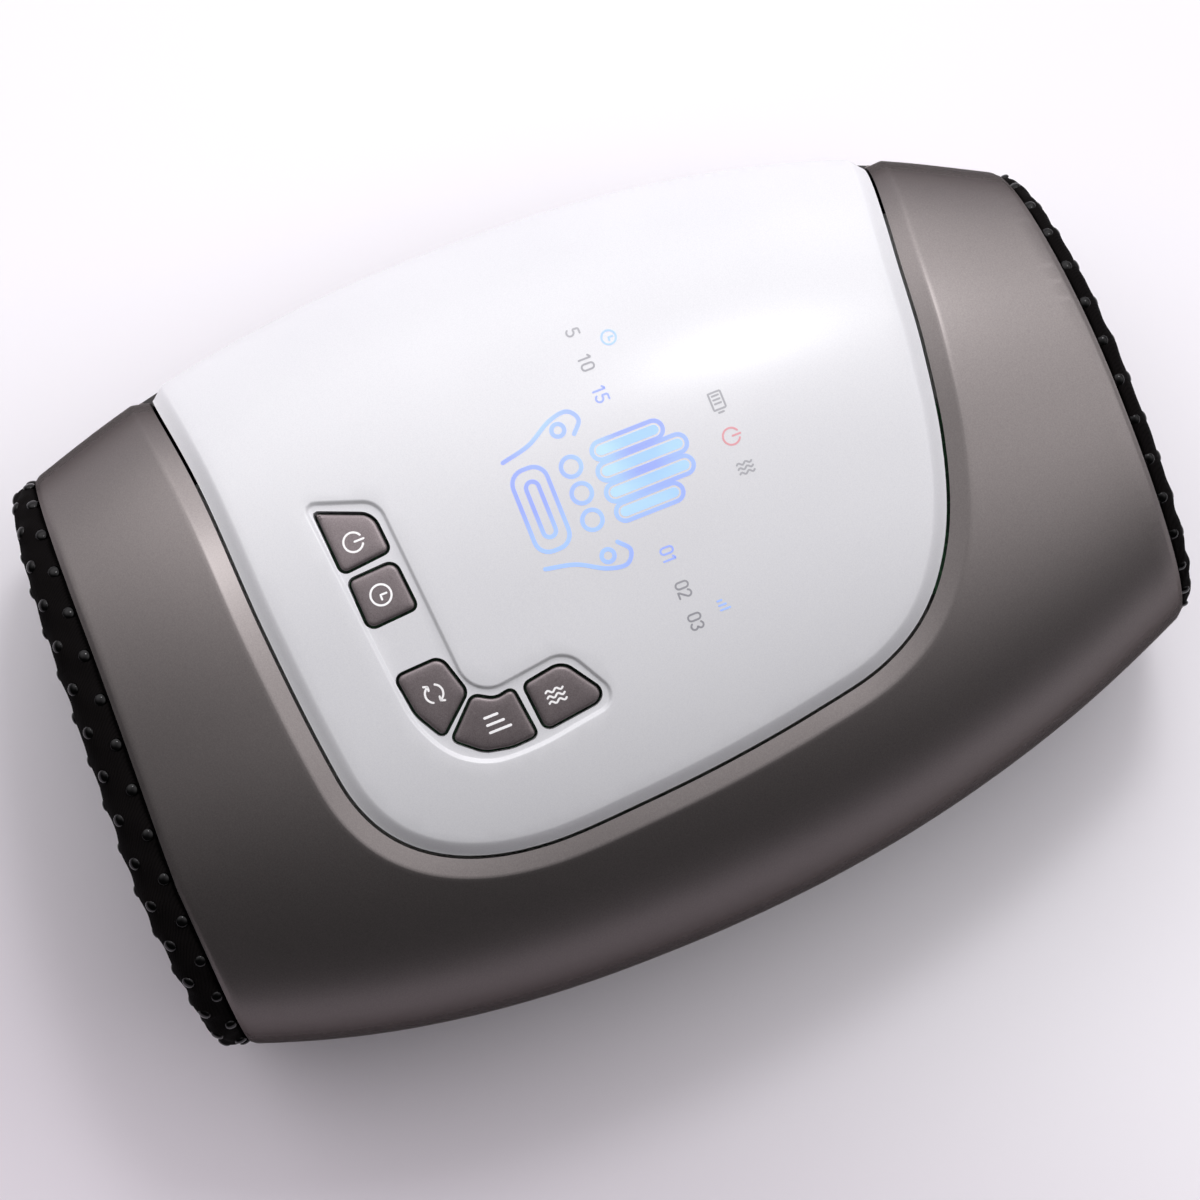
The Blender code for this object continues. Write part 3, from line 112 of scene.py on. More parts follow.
def casePoint(angle, y, inset=0.0):
    # Angle 0 is the right side at the equator, a quarter turn is the crown
    cosine, sine = math.cos(angle), math.sin(angle)
    power = case["upperPower"] if sine >= 0 else case["lowerPower"]
    x = (halfWidthAt(y, cosine) - inset) * math.copysign(abs(cosine) ** (2 / power), cosine)
    rise = abs(sine) ** (2 / power)
    if sine >= 0:
        return Vector((x, y, case["equator"] + (crownAt(y) - inset - case["equator"]) * rise))
    floor = baseAt(y) + inset
    drop = case["equator"] - (case["equator"] - floor) * case["baseFullness"] * rise
    softened = 0.5 * (floor + drop + math.hypot(floor - drop, case["blur"]) - case["blur"])
    return Vector((x, y, max(floor, softened)))


def topAt(x, y):
    share = min(1, abs(x) / halfWidthAt(y, x))
    rise = (1 - share ** case["upperPower"]) ** (1 / case["upperPower"])
    return case["equator"] + (crownAt(y) - case["equator"]) * rise


def partingAngle(y):
    share = (case["equator"] - case["parting"]) / ((case["equator"] - baseAt(y)) * case["baseFullness"])
    return math.asin(share ** (case["lowerPower"] / 2))


def caseNormal(angle, y):
    turn, step = 1e-3, 1e-4
    around = casePoint(angle + turn, y) - casePoint(angle - turn, y)
    along = casePoint(angle, y + step) - casePoint(angle, y - step)
    return along.cross(around).normalized()


def coordsOf(point):
    # (u, y) of the case surface nearest a point, u being the section's angle in metres of surface
    x, y, z = point
    side = math.copysign(1, x)
    if z >= case["equator"]:
        power, rise = case["upperPower"], (z - case["equator"]) / (crownAt(y) - case["equator"])
    else:
        power = case["lowerPower"]
        rise = (z - case["equator"]) / ((case["equator"] - baseAt(y)) * case["baseFullness"])
    across = side * (abs(x) / halfWidthAt(y, side)) ** (power / 2)
    up = math.copysign(abs(rise) ** (power / 2), rise)
    angle = math.atan2(up, across)
    if angle < -math.pi / 2 and z > case["parting"] - 5 * mm:
        angle += 2 * math.pi
    return angle * case["arcScale"], y


def onCase(u, y, height=0.0):
    angle = u / case["arcScale"]
    return casePoint(angle, y) + caseNormal(angle, y) * height


# Curves


def smoothPath(points, steps, closed=False):
    places = [Vector(point) for point in points]
    if closed:
        ends = [places[-1], *places, places[0], places[1]]
    else:
        ends = [2 * places[0] - places[1], *places, 2 * places[-1] - places[-2]]
    found = []
    for before, first, last, after in zip(ends, ends[1:], ends[2:], ends[3:]):
        for step in range(steps):
            t = step / steps
            curve = 2 * first + (last - before) * t
            curve += (2 * before - 5 * first + 4 * last - after) * t**2
            curve += (3 * first - before - 3 * last + after) * t**3
            found.append(curve / 2)
    return found if closed else found + [places[-1]]


def lengthsAlong(places):
    lengths = [0.0]
    for first, last in zip(places, places[1:]):
        lengths.append(lengths[-1] + (last - first).length)
    return lengths


def evenly(points, spacing, closed=False, measure=None):
    # Points at an even spacing along a line; measure gives the real place of a point
    places = [Vector(point) for point in points]
    if closed:
        places.append(places[0])
    lengths = lengthsAlong([measure(place) for place in places] if measure else places)
    count = max(2, round(lengths[-1] / spacing))
    found, index = [], 0
    for step in range(count if closed else count + 1):
        target = lengths[-1] * step / count
        while index < len(lengths) - 2 and lengths[index + 1] < target:
            index += 1
        gap = lengths[index + 1] - lengths[index]
        share = (target - lengths[index]) / gap if gap else 0
        found.append(places[index].lerp(places[index + 1], share))
    return found


def rounded(corners, steps=6):
    # Corners are (x, y, distance over which the corner is rounded)
    bend = 0.55
    area = sum(a[0] * b[1] - b[0] * a[1] for a, b in zip(corners, corners[1:] + corners[:1]))
    ordered = corners if area > 0 else corners[::-1]
    found = []
    for index, (x, y, size) in enumerate(ordered):
        here = Vector((x, y))
        before = Vector(ordered[index - 1][:2])
        after = Vector(ordered[(index + 1) % len(ordered)][:2])
        start = here + (before - here).normalized() * min(size, (before - here).length / 2)
        end = here + (after - here).normalized() * min(size, (after - here).length / 2)
        first, last = start.lerp(here, bend), end.lerp(here, bend)
        for step in range(steps + 1):
            t = step / steps
            point = start * (1 - t) ** 3 + first * 3 * t * (1 - t) ** 2
            found.append(point + last * 3 * t**2 * (1 - t) + end * t**3)
    return found


def offset(outline, distance):
    # Moves a closed counterclockwise outline outwards
    moved = []
    for index, place in enumerate(outline):
        before, after = outline[index - 1], outline[(index + 1) % len(outline)]
        along = (Vector(after[:2]) - Vector(before[:2])).normalized()
        moved.append(Vector((place[0] + along.y * distance, place[1] - along.x * distance)))
    return moved


def inside(outline, x, y):
    found = False
    for first, last in zip(outline, outline[1:] + outline[:1]):
        if (first[1] > y) != (last[1] > y):
            if x < first[0] + (last[0] - first[0]) * (y - first[1]) / (last[1] - first[1]):
                found = not found
    return found


def ease(share):
    share = min(1, max(0, share))
    return share * share * (3 - 2 * share)


# Materials


def linear(colour):
    parts = [int(colour[index : index + 2], 16) / 255 for index in (1, 3, 5)]
    return (*[p / 12.92 if p <= 0.04045 else ((p + 0.055) / 1.055) ** 2.4 for p in parts], 1.0)


def addNode(material, kind, settings=None, links=None):
    tree = material.node_tree
    node = tree.nodes.new("ShaderNode" + kind)
    for name, value in (settings or {}).items():
        if isinstance(name, str) and hasattr(node, name):
            setattr(node, name, value)
        else:
            node.inputs[name].default_value = value
    for name, source in (links or {}).items():
        tree.links.new(source, node.inputs[name])
    return node


def newMaterial(name, settings):
    # A material, its shader, and the place on the object that its patterns start from
    material = bpy.data.materials.new(name)
    material.use_nodes = True
    shader = material.node_tree.nodes["Principled BSDF"]
    for key, value in settings.items():
        shader.inputs[key].default_value = linear(value) if isinstance(value, str) else value
    return material, shader, addNode(material, "TexCoord").outputs["Object"]


def finish(material, shader, **sources):
    names = {"colour": "Base Color", "roughness": "Roughness", "normal": "Normal"}
    for key, source in sources.items():
        material.node_tree.links.new(source, shader.inputs[names[key]])
    return material


def colourRamp(material, source, low, high, start=0.3, end=0.7):
    ramp = addNode(material, "ValToRGB", links={"Fac": source})
    ramp.color_ramp.elements[0].position = start
    ramp.color_ramp.elements[1].position = end
    ramp.color_ramp.elements[0].color = linear(low)
    ramp.color_ramp.elements[1].color = linear(high)
    return ramp.outputs["Color"]


def valueRange(material, source, low, high):
    settings = {"To Min": low, "To Max": high}
    return addNode(material, "MapRange", settings, {"Value": source}).outputs["Result"]


def noise(material, place, size, detail=2.0, roughness=0.5):
    # size is the pattern's real grain in metres
    settings = {"Scale": 1 / size, "Detail": detail, "Roughness": roughness}
    return addNode(material, "TexNoise", settings, {"Vector": place}).outputs["Fac"]


def waves(material, place, direction, size, distortion):
    settings = {
        "wave_type": "BANDS",
        "bands_direction": direction,
        "Scale": 1 / size,
        "Distortion": distortion,
    }
    return addNode(material, "TexWave", settings, {"Vector": place}).outputs["Fac"]


def bump(material, height, distance, strength):
    settings = {"Distance": distance, "Strength": strength}
    return addNode(material, "Bump", settings, {"Height": height}).outputs["Normal"]


def mixed(material, first, second, share):
    # Adds two heights, the second one scaled
    settings = {"operation": "MULTIPLY_ADD", 1: share}
    return addNode(material, "Math", settings, {0: second, 2: first}).outputs["Value"]


def gunmetalPaint():
    # Metallic lacquer sprayed on moulded ABS: a satin grey with fine bright flakes and a faint orange peel,
    # which darkens where it is seen edge on, because the flakes lie flat
    material, shader, place = newMaterial(
        "gunmetalLacquerSprayed",
        {"Metallic": 0.9, "Roughness": 0.42, "Specular IOR Level": 0.3, "Specular Tint": "#574f52"},
    )
    flakes = noise(material, place, 0.34 * mm, 3.0, 0.8)  # real flakes are 0.03 mm, too fine to show
    colour = colourRamp(material, flakes, "#736e6d", "#837e7c", 0.32, 0.70)
    peel = noise(material, place, 1.1 * mm, 2.0)
    grain = mixed(material, peel, flakes, 0.35)
    return finish(
        material,
        shader,
        colour=colour,
        roughness=valueRange(material, flakes, 0.33, 0.46),
        normal=bump(material, grain, 0.012 * mm, 0.6),
    )


def pearlLacquer():
    # Pearl lacquer under clear coat on moulded ABS: a cool white that stays smooth and glossy
    material, shader, place = newMaterial(
        "pearlLacquerClearcoated",
        {"Metallic": 0.0, "Roughness": 0.36, "Coat Weight": 0.30, "Coat Roughness": 0.22},
    )
    flakes = noise(material, place, 0.30 * mm, 1.0, 0.6)
    clouds = noise(material, place, 40 * mm, 1.0)
    tone = mixed(material, flakes, clouds, 0.35)
    return finish(
        material,
        shader,
        colour=colourRamp(material, tone, "#c8c9cc", "#d0d1d3", 0.35, 0.85),
        roughness=valueRange(material, flakes, 0.32, 0.40),
        normal=bump(material, noise(material, place, 1.6 * mm), 0.006 * mm, 0.5),
    )


def keyLacquer():
    # The same metallic lacquer on the small key caps, a shade warmer and with a coarser flake
    material, shader, place = newMaterial(
        "keyCapLacquerSprayed",
        {"Metallic": 0.75, "Roughness": 0.42, "Coat Weight": 0.15, "Coat Roughness": 0.3},
    )
    flakes = noise(material, place, 0.28 * mm, 1.0, 0.8)
    return finish(
        material,
        shader,
        colour=colourRamp(material, flakes, "#6a6263", "#7f7778", 0.30, 0.72),
        roughness=valueRange(material, flakes, 0.34, 0.48),
        normal=bump(material, flakes, 0.010 * mm, 0.7),
    )


def moulded(name, low, high, roughness, grain=0.6 * mm, depth=0.02 * mm, extra=None):
    # Injection moulded plastic or rubber with a spark-eroded grain: matt, with a slight change of tone
    material, shader, place = newMaterial(name, {"Roughness": roughness, **(extra or {})})
    fine = noise(material, place, grain, 3.0)
    broad = noise(material, place, 25 * mm, 2.0)
    return finish(
        material,
        shader,
        colour=colourRamp(material, mixed(material, broad, fine, 0.3), low, high, 0.35, 0.95),
        roughness=valueRange(material, fine, roughness * 0.88, roughness * 1.16),
        normal=bump(material, fine, depth, 0.6),
    )


def inked(name, low, high, glow=0.0):
    # Screen-printed ink, or a window lit from behind: even colour that shifts slightly along the print
    material, shader, place = newMaterial(name, {"Roughness": 0.45})
    shift = noise(material, place, 22 * mm, 1.0)
    colour = colourRamp(material, shift, low, high, 0.40, 0.60)
    if glow:
        shader.inputs["Emission Strength"].default_value = glow
        material.node_tree.links.new(colour, shader.inputs["Emission Color"])
    return finish(material, shader, colour=colour)


coats = {
    "shell": gunmetalPaint(),
    "panel": pearlLacquer(),
    "key": keyLacquer(),
    "base": moulded("baseAbsMoulded", "#2b2828", "#353232", 0.55, 0.8 * mm, 0.03 * mm),
    "rubber": moulded("blackRubberMoulded", "#131313", "#1c1c1c", 0.8, 0.5 * mm, 0.02 * mm),
    "inkWhite": inked("whiteInkPrinted", "#efeeed", "#f8f8f8"),
}
print("materials made")


# Mesh tools


def newObject(name, data):
    thing = bpy.data.objects.new(name, data)
    bpy.context.scene.collection.objects.link(thing)
    return thing


def addPiece(name, mesh, coat, body="root", nodes=(), place=(0, 0, 0), flipped=False):
    # Pieces that share a mesh give it its coat once
    piece = newObject(name, mesh)
    piece.location = place
    piece.rotation_euler.x = math.pi if flipped else 0.0
    if not mesh.materials:
        mesh.materials.append(coats[coat])
    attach(piece, body)
    if nodes:
        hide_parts(*nodes)
    return piece


def middleOf(node):
    low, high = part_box(node)
    return (low.x + high.x) / 2, (low.y + high.y) / 2


def quadFaces(rows, columns, closedRows=False, closedColumns=True, start=0):
    # Four-sided faces over a grid of points; a closed row or column joins its last point to its first
    faces = []
    for row in range(rows if closedRows else rows - 1):
        here, there = start + row * columns, start + (row + 1) % rows * columns
        for column in range(columns if closedColumns else columns - 1):
            after = (column + 1) % columns
            faces.append((here + column, here + after, there + after, there + column))
    return faces


# The photo's openings aren't quite square: how far their rims are drawn in at the right and at the left,
# and where along x the change starts and how wide it is
rims = {
    "start": 86.0 * mm,  # distance from the middle past which the case is drawn in
    "front": (-0.5 * mm, 2.0 * mm, 55.0 * mm, 90.0 * mm),
    "rear": (0.85 * mm, 4.0 * mm, 0.0 * mm, 85.0 * mm),
    "roll": (0.45 * mm, 1.4 * mm),  # how far the rim's edge turns inwards, and over what depth
    "depths": (0.45 * mm, 0.9 * mm, 1.5 * mm),  # of the extra lines that carry this
    "net": 2.2 * mm,
}


def drawnIn(point):
    x, y, z = point
    rim = abs(case["frontRim"] if y < 0 else case["rearRim"])
    right, left, start, width = rims["front" if y < 0 else "rear"]
    shift = right + (left - right) * ease((start - x) / width)
    return x, y - math.copysign(shift * ease((abs(y) - rims["start"]) / (rim - rims["start"])), y), z


def meshFrom(name, points, faces, closed=False):
    mesh = bpy.data.meshes.new(name)
    mesh.from_pydata([drawnIn(point) for point in points], [], [tuple(face) for face in faces])
    if closed:
        bm = bmesh.new()
        bm.from_mesh(mesh)
        bmesh.ops.recalc_face_normals(bm, faces=bm.faces)
        bm.to_mesh(mesh)
        bm.free()
    mesh.shade_smooth()
    return mesh


def fillPatch(name, patch, spacing, clear, place, levelAt=None, holes=(), bands=()):
    # Fills the area inside a patch's lines with an even net of triangles laid on a surface
    points, edges = patch["points"], patch["edges"]
    tree = kdtree.KDTree(len(points))
    for number, (u, y, height) in enumerate(points):
        tree.insert((u, y, 0), number)
    tree.balance()
    low = [min(point[axis] for point in points) for axis in (0, 1)]
    high = [max(point[axis] for point in points) for axis in (0, 1)]
    inner = []
    rowStep = spacing * math.sqrt(3) / 2
    for row in range(int((high[1] - low[1]) / rowStep) + 1):
        for column in range(int((high[0] - low[0]) / spacing) + 1):
            u = low[0] + (column + 0.5 * (row % 2)) * spacing
            y = low[1] + row * rowStep
            if tree.find((u, y, 0))[2] > clear and not any(inside(band, u, y) for band in bands):
                inner.append((u, y, levelAt(u, y) if levelAt else 0.0))
    flat = [Vector((u, y)) for u, y, height in points + inner]
    found, _, faces, origins, _, _ = delaunay_2d_cdt(flat, edges, [], 1, 1e-9)
    heights = [point[2] for point in points + inner]
    placed = []
    for spot, sources in zip(found, origins):
        height = heights[sources[0]] if sources else (levelAt(*spot) if levelAt else 0.0)
        placed.append(place(spot.x, spot.y, height))
    kept = []
    for face in faces:
        middle = sum((found[number] for number in face), Vector((0, 0))) / 3
        if not any(inside(hole, middle.x, middle.y) for hole in holes):
            kept.append(face)
    mesh = meshFrom(name, placed, kept)
    bm = bmesh.new()
    bm.from_mesh(mesh)
    bmesh.ops.delete(bm, geom=[vert for vert in bm.verts if not vert.link_faces], context="VERTS")
    bmesh.ops.remove_doubles(bm, verts=bm.verts, dist=0.04 * mm)
    bmesh.ops.dissolve_degenerate(bm, edges=bm.edges, dist=0.02 * mm)
    bmesh.ops.recalc_face_normals(bm, faces=bm.faces)
    if sum(face.normal.dot(outward(face.calc_center_median())) for face in bm.faces) < 0:
        bmesh.ops.reverse_faces(bm, faces=bm.faces)
    bm.to_mesh(mesh)
    bm.free()
    mesh.shade_smooth()
    return mesh


def outward(point):
    return Vector((point.x, 0, point.z - case["equator"]))


def thicken(piece, wall, edge, segments=3):
    # A moulded wall of even thickness with its edges rounded
    shell = piece.modifiers.new("wall", "SOLIDIFY")
    shell.thickness = wall
    shell.offset = -1
    soften = piece.modifiers.new("edges", "BEVEL")
    soften.width = edge
    soften.segments = segments
    soften.limit_method = "ANGLE"
    soften.angle_limit = math.radians(50)
    soften.harden_normals = True


# Edge of the panel: shares of the half width and half length, from the front left round to the rear left
panel = {
    "shares": (
        (-1.12, -0.684), (-0.68, -0.634), (-0.23, -0.617), (0.11, -0.598), (0.31, -0.575),
        (0.449, -0.517), (0.54, -0.419), (0.58, -0.285), (0.571, -0.105), (0.55, 0.06),
        (0.514, 0.225), (0.466, 0.367), (0.37, 0.472), (0.205, 0.551), (-0.02, 0.604),
        (-0.295, 0.638), (-0.56, 0.661), (-0.83, 0.698), (-1.12, 0.760),
    ),
    "gap": 0.85 * mm,
    "grooveDepth": 2.0 * mm,
    "panelBevel": 4.0 * mm,  # width of the white side's soft shoulder
    "shellBevel": 4.3 * mm,  # width of the grey side's crisp chamfer
    "flank": 0.93,  # share of the half width past which the edge runs down the left flank
    "rings": (0.0, 0.35, 0.8, 1.6, 2.5, 3.3, 3.8, 4.2),  # millimetres from the edge, on the white side
    "shellRings": (0.0, 0.3, 0.9, 1.8, 2.7, 3.6, 4.15, 4.5, 5.4, 6.8),  # and on the grey side
    "spacing": 2.0 * mm,  # of points along the edges
    "net": 3.2 * mm,  # size of the triangles
    "clear": 1.3 * mm,  # kept free of them beside the lines
    "shellClear": 1.2 * mm,
    "wall": (2.3 * mm, 0.38 * mm),  # thickness and rounding of its edges
    "shellWall": (2.4 * mm, 0.35 * mm),
}


def edgeY(line, x):
    for first, last in zip(line, line[1:]):
        if min(first.x, last.x) <= x <= max(first.x, last.x):
            return first.y + (last.y - first.y) * (x - first.x) / (last.x - first.x)
    return line[0].y


def flankRoute(line, start):
    # The panel's edge where it runs down the left flank, from an angle to the parting line
    y = edgeY(line, -panel["flank"] * halfWidthAt(line[0].y, -1))
    end = math.pi + partingAngle(y)
    route, steps = [], 14
    for step in range(1, steps + 1):
        angle = start + (end - start) * step / steps
        for _ in range(3):
            y = edgeY(line, casePoint(angle, y).x)
        route.append(Vector((angle * case["arcScale"], y)))
    return route


def panelEdge():
    corners = [(x * case["halfWidth"], y * case["halfLength"], 0) for x, y in panel["shares"]]
    line = smoothPath(corners, 12)
    middle = []
    for point in line:
        share = point.x / halfWidthAt(point.y, point.x)
        if share > -panel["flank"]:
            cosine = math.copysign(abs(share) ** (case["upperPower"] / 2), share)
            middle.append(Vector((math.acos(cosine) * case["arcScale"], point.y)))
    front = flankRoute(line, middle[0].x / case["arcScale"])
    rear = flankRoute(line[::-1], middle[-1].x / case["arcScale"])
    route = front[::-1] + middle + rear
    return evenly(route, panel["spacing"], measure=lambda point: onCase(*point))


def edgeRing(edge, distance):
    # The panel's edge moved over the surface, away from the panel
    real = [onCase(*point) for point in edge]
    moved = []
    for index, (point, here) in enumerate(zip(edge, real)):
        along = real[min(index + 1, len(real) - 1)] - real[max(index - 1, 0)]
        normal = caseNormal(point.x / case["arcScale"], point.y)
        away = along.cross(normal).normalized()
        u, y = coordsOf(here + away * distance)
        moved.append(Vector((point.x if index in (0, len(edge) - 1) else u, y)))
    return moved


def grooveHeight(distance, reach, crisp):
    # Height of the chamfer beside the gap
    share = min(1, distance / reach)
    slope = -panel["grooveDepth"] * (1 - share)
    return slope if crisp else -panel["grooveDepth"] * (1 - ease(share) * 0.35 - share * 0.65)


edge = panelEdge()
print("panel edge has", len(edge), "points")


# Case patches: each is an area of (u, y) filled with triangles


def leftFlank(y):
    return (math.pi + partingAngle(y)) * case["arcScale"]


def rightFlank(y):
    return -partingAngle(y) * case["arcScale"]


def grid(low, high, spacing):
    count = max(1, round(abs(high - low) / spacing))
    return [low + (high - low) * step / count for step in range(count + 1)]


def addLevelLine(patch, points, heights, closed=False):
    start = len(patch["points"])
    patch["points"] += [(u, y, level) for (u, y), level in zip(points, heights)]
    numbers = list(range(start, len(patch["points"])))
    patch["edges"] += list(zip(numbers, numbers[1:]))
    if closed:
        patch["edges"].append((numbers[-1], numbers[0]))


def planToCase(x, y):
    return coordsOf((x, y, topAt(x, y)))


# The panel, with its soft shoulder, the sunk key field and the holes for the keys
keypad = {
    # Places below are in key sizes from the centre; a third value is how far that corner is rounded
    "centre": (0.148 * case["halfWidth"], -0.325 * case["halfLength"]),
    "size": 12.5 * mm,
    "gap": 0.72 * mm,
    "shrink": 0.25 * mm,
    "corner": 1.5 * mm,
    "pocketDepth": 0.9 * mm,
    "pocket": (
        (-4.51, -1.56, 0.20), (-4.05, -0.28, 0.26), (0.02, 0.01, 0.64), (-0.22, 1.93, 0.32),
        (0.74, 2.46, 0.14), (1.02, 2.32, 0.14), (1.27, 0.62, 0.60), (1.14, -0.38, 0.50),
        (0.25, -1.12, 0.57),
    ),
    # Millimetres outwards from the pocket's edge, and shares of its depth
    "pocketWall": ((0.80, 0.0), (0.58, 0.05), (0.34, 0.25), (0.08, 0.66), (-0.16, 0.94), (-0.36, 1.0)),
    "keys": {
        "power": ((-4.31, -1.45, 0.8), (-3.89, -0.44, 2.6), (-3.13, -0.38), (-3.04, -1.37, 1.8)),
        "timer": ((-2.89, -1.32), (-2.93, -0.38, 2.3), (-1.96, -0.30), (-1.90, -1.28, 2.1)),
        "mode": (
            (-0.92, -1.17, 1.9), (-0.96, -0.25, 2.2), (-0.18, -0.02), (0.45, -0.74), (-0.12, -1.06),
        ),
        "intensity": (
            (-0.09, 0.04), (0.13, 0.41), (0.06, 0.78), (1.06, 0.90), (1.09, 0.39), (0.98, -0.13),
            (0.56, -0.62),
        ),
        "heat": ((0.08, 0.98), (-0.05, 1.80, 2.6), (0.69, 2.30), (0.89, 2.19), (1.03, 1.07, 1.9)),
    },
}


def keypadPlace(x, y):
    return keypad["centre"][0] + x * keypad["size"], keypad["centre"][1] + y * keypad["size"]


def keyOutline(name):
    corners = []
    for x, y, *size in keypad["keys"][name]:
        corners.append((*keypadPlace(x, y), size[0] * mm if size else keypad["corner"]))
    line = evenly([(p.x, p.y, 0) for p in rounded(corners)], 0.55 * mm, closed=True)
    return offset(line, -keypad["shrink"])


def pocketOutline():
    corners = [(*keypadPlace(x, y), size * keypad["size"]) for x, y, size in keypad["pocket"]]
    return evenly([(p.x, p.y, 0) for p in rounded(corners, 10)], 1.1 * mm, closed=True)


pocketLine = pocketOutline()
keyLines = {name: keyOutline(name) for name in keypad["keys"]}
pocketArea = [planToCase(point.x, point.y) for point in offset(pocketLine, 0.5 * mm)]


def panelLevel(u, y):
    return -keypad["pocketDepth"] if inside(pocketArea, u, y) else 0.0


def buildPanel():
    patch = {"points": [], "edges": []}
    for distance in panel["rings"]:
        ring = edgeRing(edge, -distance * mm) if distance else edge
        ring[0].x, ring[-1].x = leftFlank(ring[0].y), leftFlank(ring[-1].y)
        height = grooveHeight(distance * mm, panel["panelBevel"], False)
        addLevelLine(patch, ring, [height] * len(ring))
    bands = [edge + ring[::-1]]
    bottom = [(leftFlank(y), y) for y in grid(edge[-1].y, edge[0].y, panel["spacing"])]
    addLevelLine(patch, bottom, [0.0] * len(bottom))
    for distance, share in keypad["pocketWall"]:
        ring = [planToCase(p.x, p.y) for p in offset(pocketLine, distance * mm)]
        addLevelLine(patch, ring, [-keypad["pocketDepth"] * share] * len(ring), closed=True)
    holes = []
    for line in keyLines.values():
        ring = [planToCase(p.x, p.y) for p in offset(line, keypad["gap"])]
        addLevelLine(patch, ring, [-keypad["pocketDepth"]] * len(ring), closed=True)
        holes.append([Vector(point) for point in ring])
    mesh = fillPatch("topPanel", patch, panel["net"], panel["clear"], onCase, panelLevel, holes, bands)
    piece = addPiece("topPanel", mesh, "panel", nodes=("top_panel",))
    thicken(piece, *panel["wall"])


def rimLevel(y):
    # The case rolls over a little at both rims
    drop, reach = rims["roll"]
    depth = min(y - case["frontRim"], case["rearRim"] - y)
    return -drop * (1 - ease(depth / reach))


def addRims(patch, start, end):
    # Extra lines just inside both rims so that their rounding is smooth
    for rim, inward in ((case["frontRim"], 1), (case["rearRim"], -1)):
        for depth in rims["depths"]:
            y = rim + inward * depth
            line = [(u, y) for u in grid(start(y), end(y), rims["net"])]
            addLevelLine(patch, line, [rimLevel(y)] * len(line))


def buildUpperShell():
    patch = {"points": [], "edges": []}
    front, rear = case["frontRim"], case["rearRim"]
    for distance in panel["shellRings"]:
        ring = edgeRing(edge, panel["gap"] + distance * mm)
        ring[0].x, ring[-1].x = leftFlank(ring[0].y), leftFlank(ring[-1].y)
        height = grooveHeight(distance * mm, panel["shellBevel"], True)
        addLevelLine(patch, ring, [height] * len(ring))
        if not distance:
            inner, first, last = ring, ring[0].y, ring[-1].y
    bands = [inner + ring[::-1]]
    spacing = panel["spacing"]
    outer = [(leftFlank(y), y) for y in grid(last, rear, spacing)]
    outer += [(u, rear) for u in grid(leftFlank(rear), rightFlank(rear), spacing)][1:]
    outer += [(rightFlank(y), y) for y in grid(rear, front, spacing)][1:]
    outer += [(u, front) for u in grid(rightFlank(front), leftFlank(front), spacing)][1:]
    outer += [(leftFlank(y), y) for y in grid(front, first, spacing)][1:]
    addLevelLine(patch, outer, [rimLevel(y) for u, y in outer])
    addRims(patch, rightFlank, leftFlank)
    mesh = fillPatch("upperShell", patch, panel["net"], panel["shellClear"], onCase, bands=bands)
    piece = addPiece("upperShell", mesh, "shell", nodes=("upper_shell",))
    thicken(piece, *panel["shellWall"])


base = {
    "net": 3.6 * mm,
    "clear": 1.2 * mm,
    "gap": 0.35 * mm,  # between the case halves, measured around the section
    "wellRadius": 3.0 * mm,
    "wellTop": 24.3 * mm,
    "wellFloor": 2.4 * mm,
    "wellSoft": 0.3 * mm,
    "wellStart": -0.2 * mm,  # from the case's surface, inside and outside
    "bossStart": -1.6 * mm,
    "bossRadius": 4.2 * mm,
    "screwHole": 1.5 * mm,
    "vents": (-36.0 * mm, 4.1 * mm, 6, 17.0 * mm, 1.8 * mm),  # middle x, pitch, count, length, width
}
# The socket's opening, and its frame's steps in millimetres: how much wider, and how far to the right
port = {
    "y": 40.0 * mm,
    "z": 34.0 * mm,
    "width": 9.6 * mm,
    "height": 4.0 * mm,
    "steps": ((0, -0.15), (0, -1.0), (-0.25, -1.3), (-0.25, -3.2), (1.2, -3.2), (1.2, -1.2)),
}


def screwPlaces():
    return [middleOf(f"case_screw_{number}") for number in range(1, 5)]


def undersideCoords(x, y):
    angle = math.acos((abs(x) / halfWidthAt(y, x)) ** (case["lowerPower"] / 2))
    return (-angle if x > 0 else angle - math.pi) * case["arcScale"], y


def flankCoords(y, z):
    # The right flank below the equator
    rise = (case["equator"] - z) / ((case["equator"] - baseAt(y)) * case["baseFullness"])
    return -math.asin(rise ** (case["lowerPower"] / 2)) * case["arcScale"], y


def circle(x, y, radius, sides=28):
    turns = [2 * math.pi * side / sides for side in range(sides)]
    return [(x + radius * math.cos(turn), y + radius * math.sin(turn)) for turn in turns]


def stadium(width, height, steps=9):
    # Points (across, up) of a slot with round ends
    radius, found = height / 2, []
    for side in (1, -1):
        for step in range(steps + 1):
            turn = math.pi * (step / steps - 0.5)
            across = width / 2 - radius + radius * math.cos(turn)
            found.append((side * across, side * radius * math.sin(turn)))
    return found


def ringsMesh(name, rings):
    # Rings of points, each joined to the next and the last to the first
    points = [point for ring in rings for point in ring]
    return meshFrom(name, points, quadFaces(len(rings), len(rings[0]), closedRows=True), closed=True)


def boxMesh(name, boxes, soften):
    # Boxes (low corner, high corner) with softened edges
    bm = bmesh.new()
    for low, high in boxes:
        low, high = Vector(low), Vector(high)
        made = bmesh.ops.create_cube(bm, size=1.0)["verts"]
        for vert in made:
            vert.co = (low + high) / 2 + (high - low) * vert.co
    bmesh.ops.bevel(bm, geom=list(bm.edges), offset=soften, segments=2, affect="EDGES", profile=0.6)
    mesh = bpy.data.meshes.new(name)
    bm.to_mesh(mesh)
    bm.free()
    mesh.shade_smooth()
    return mesh


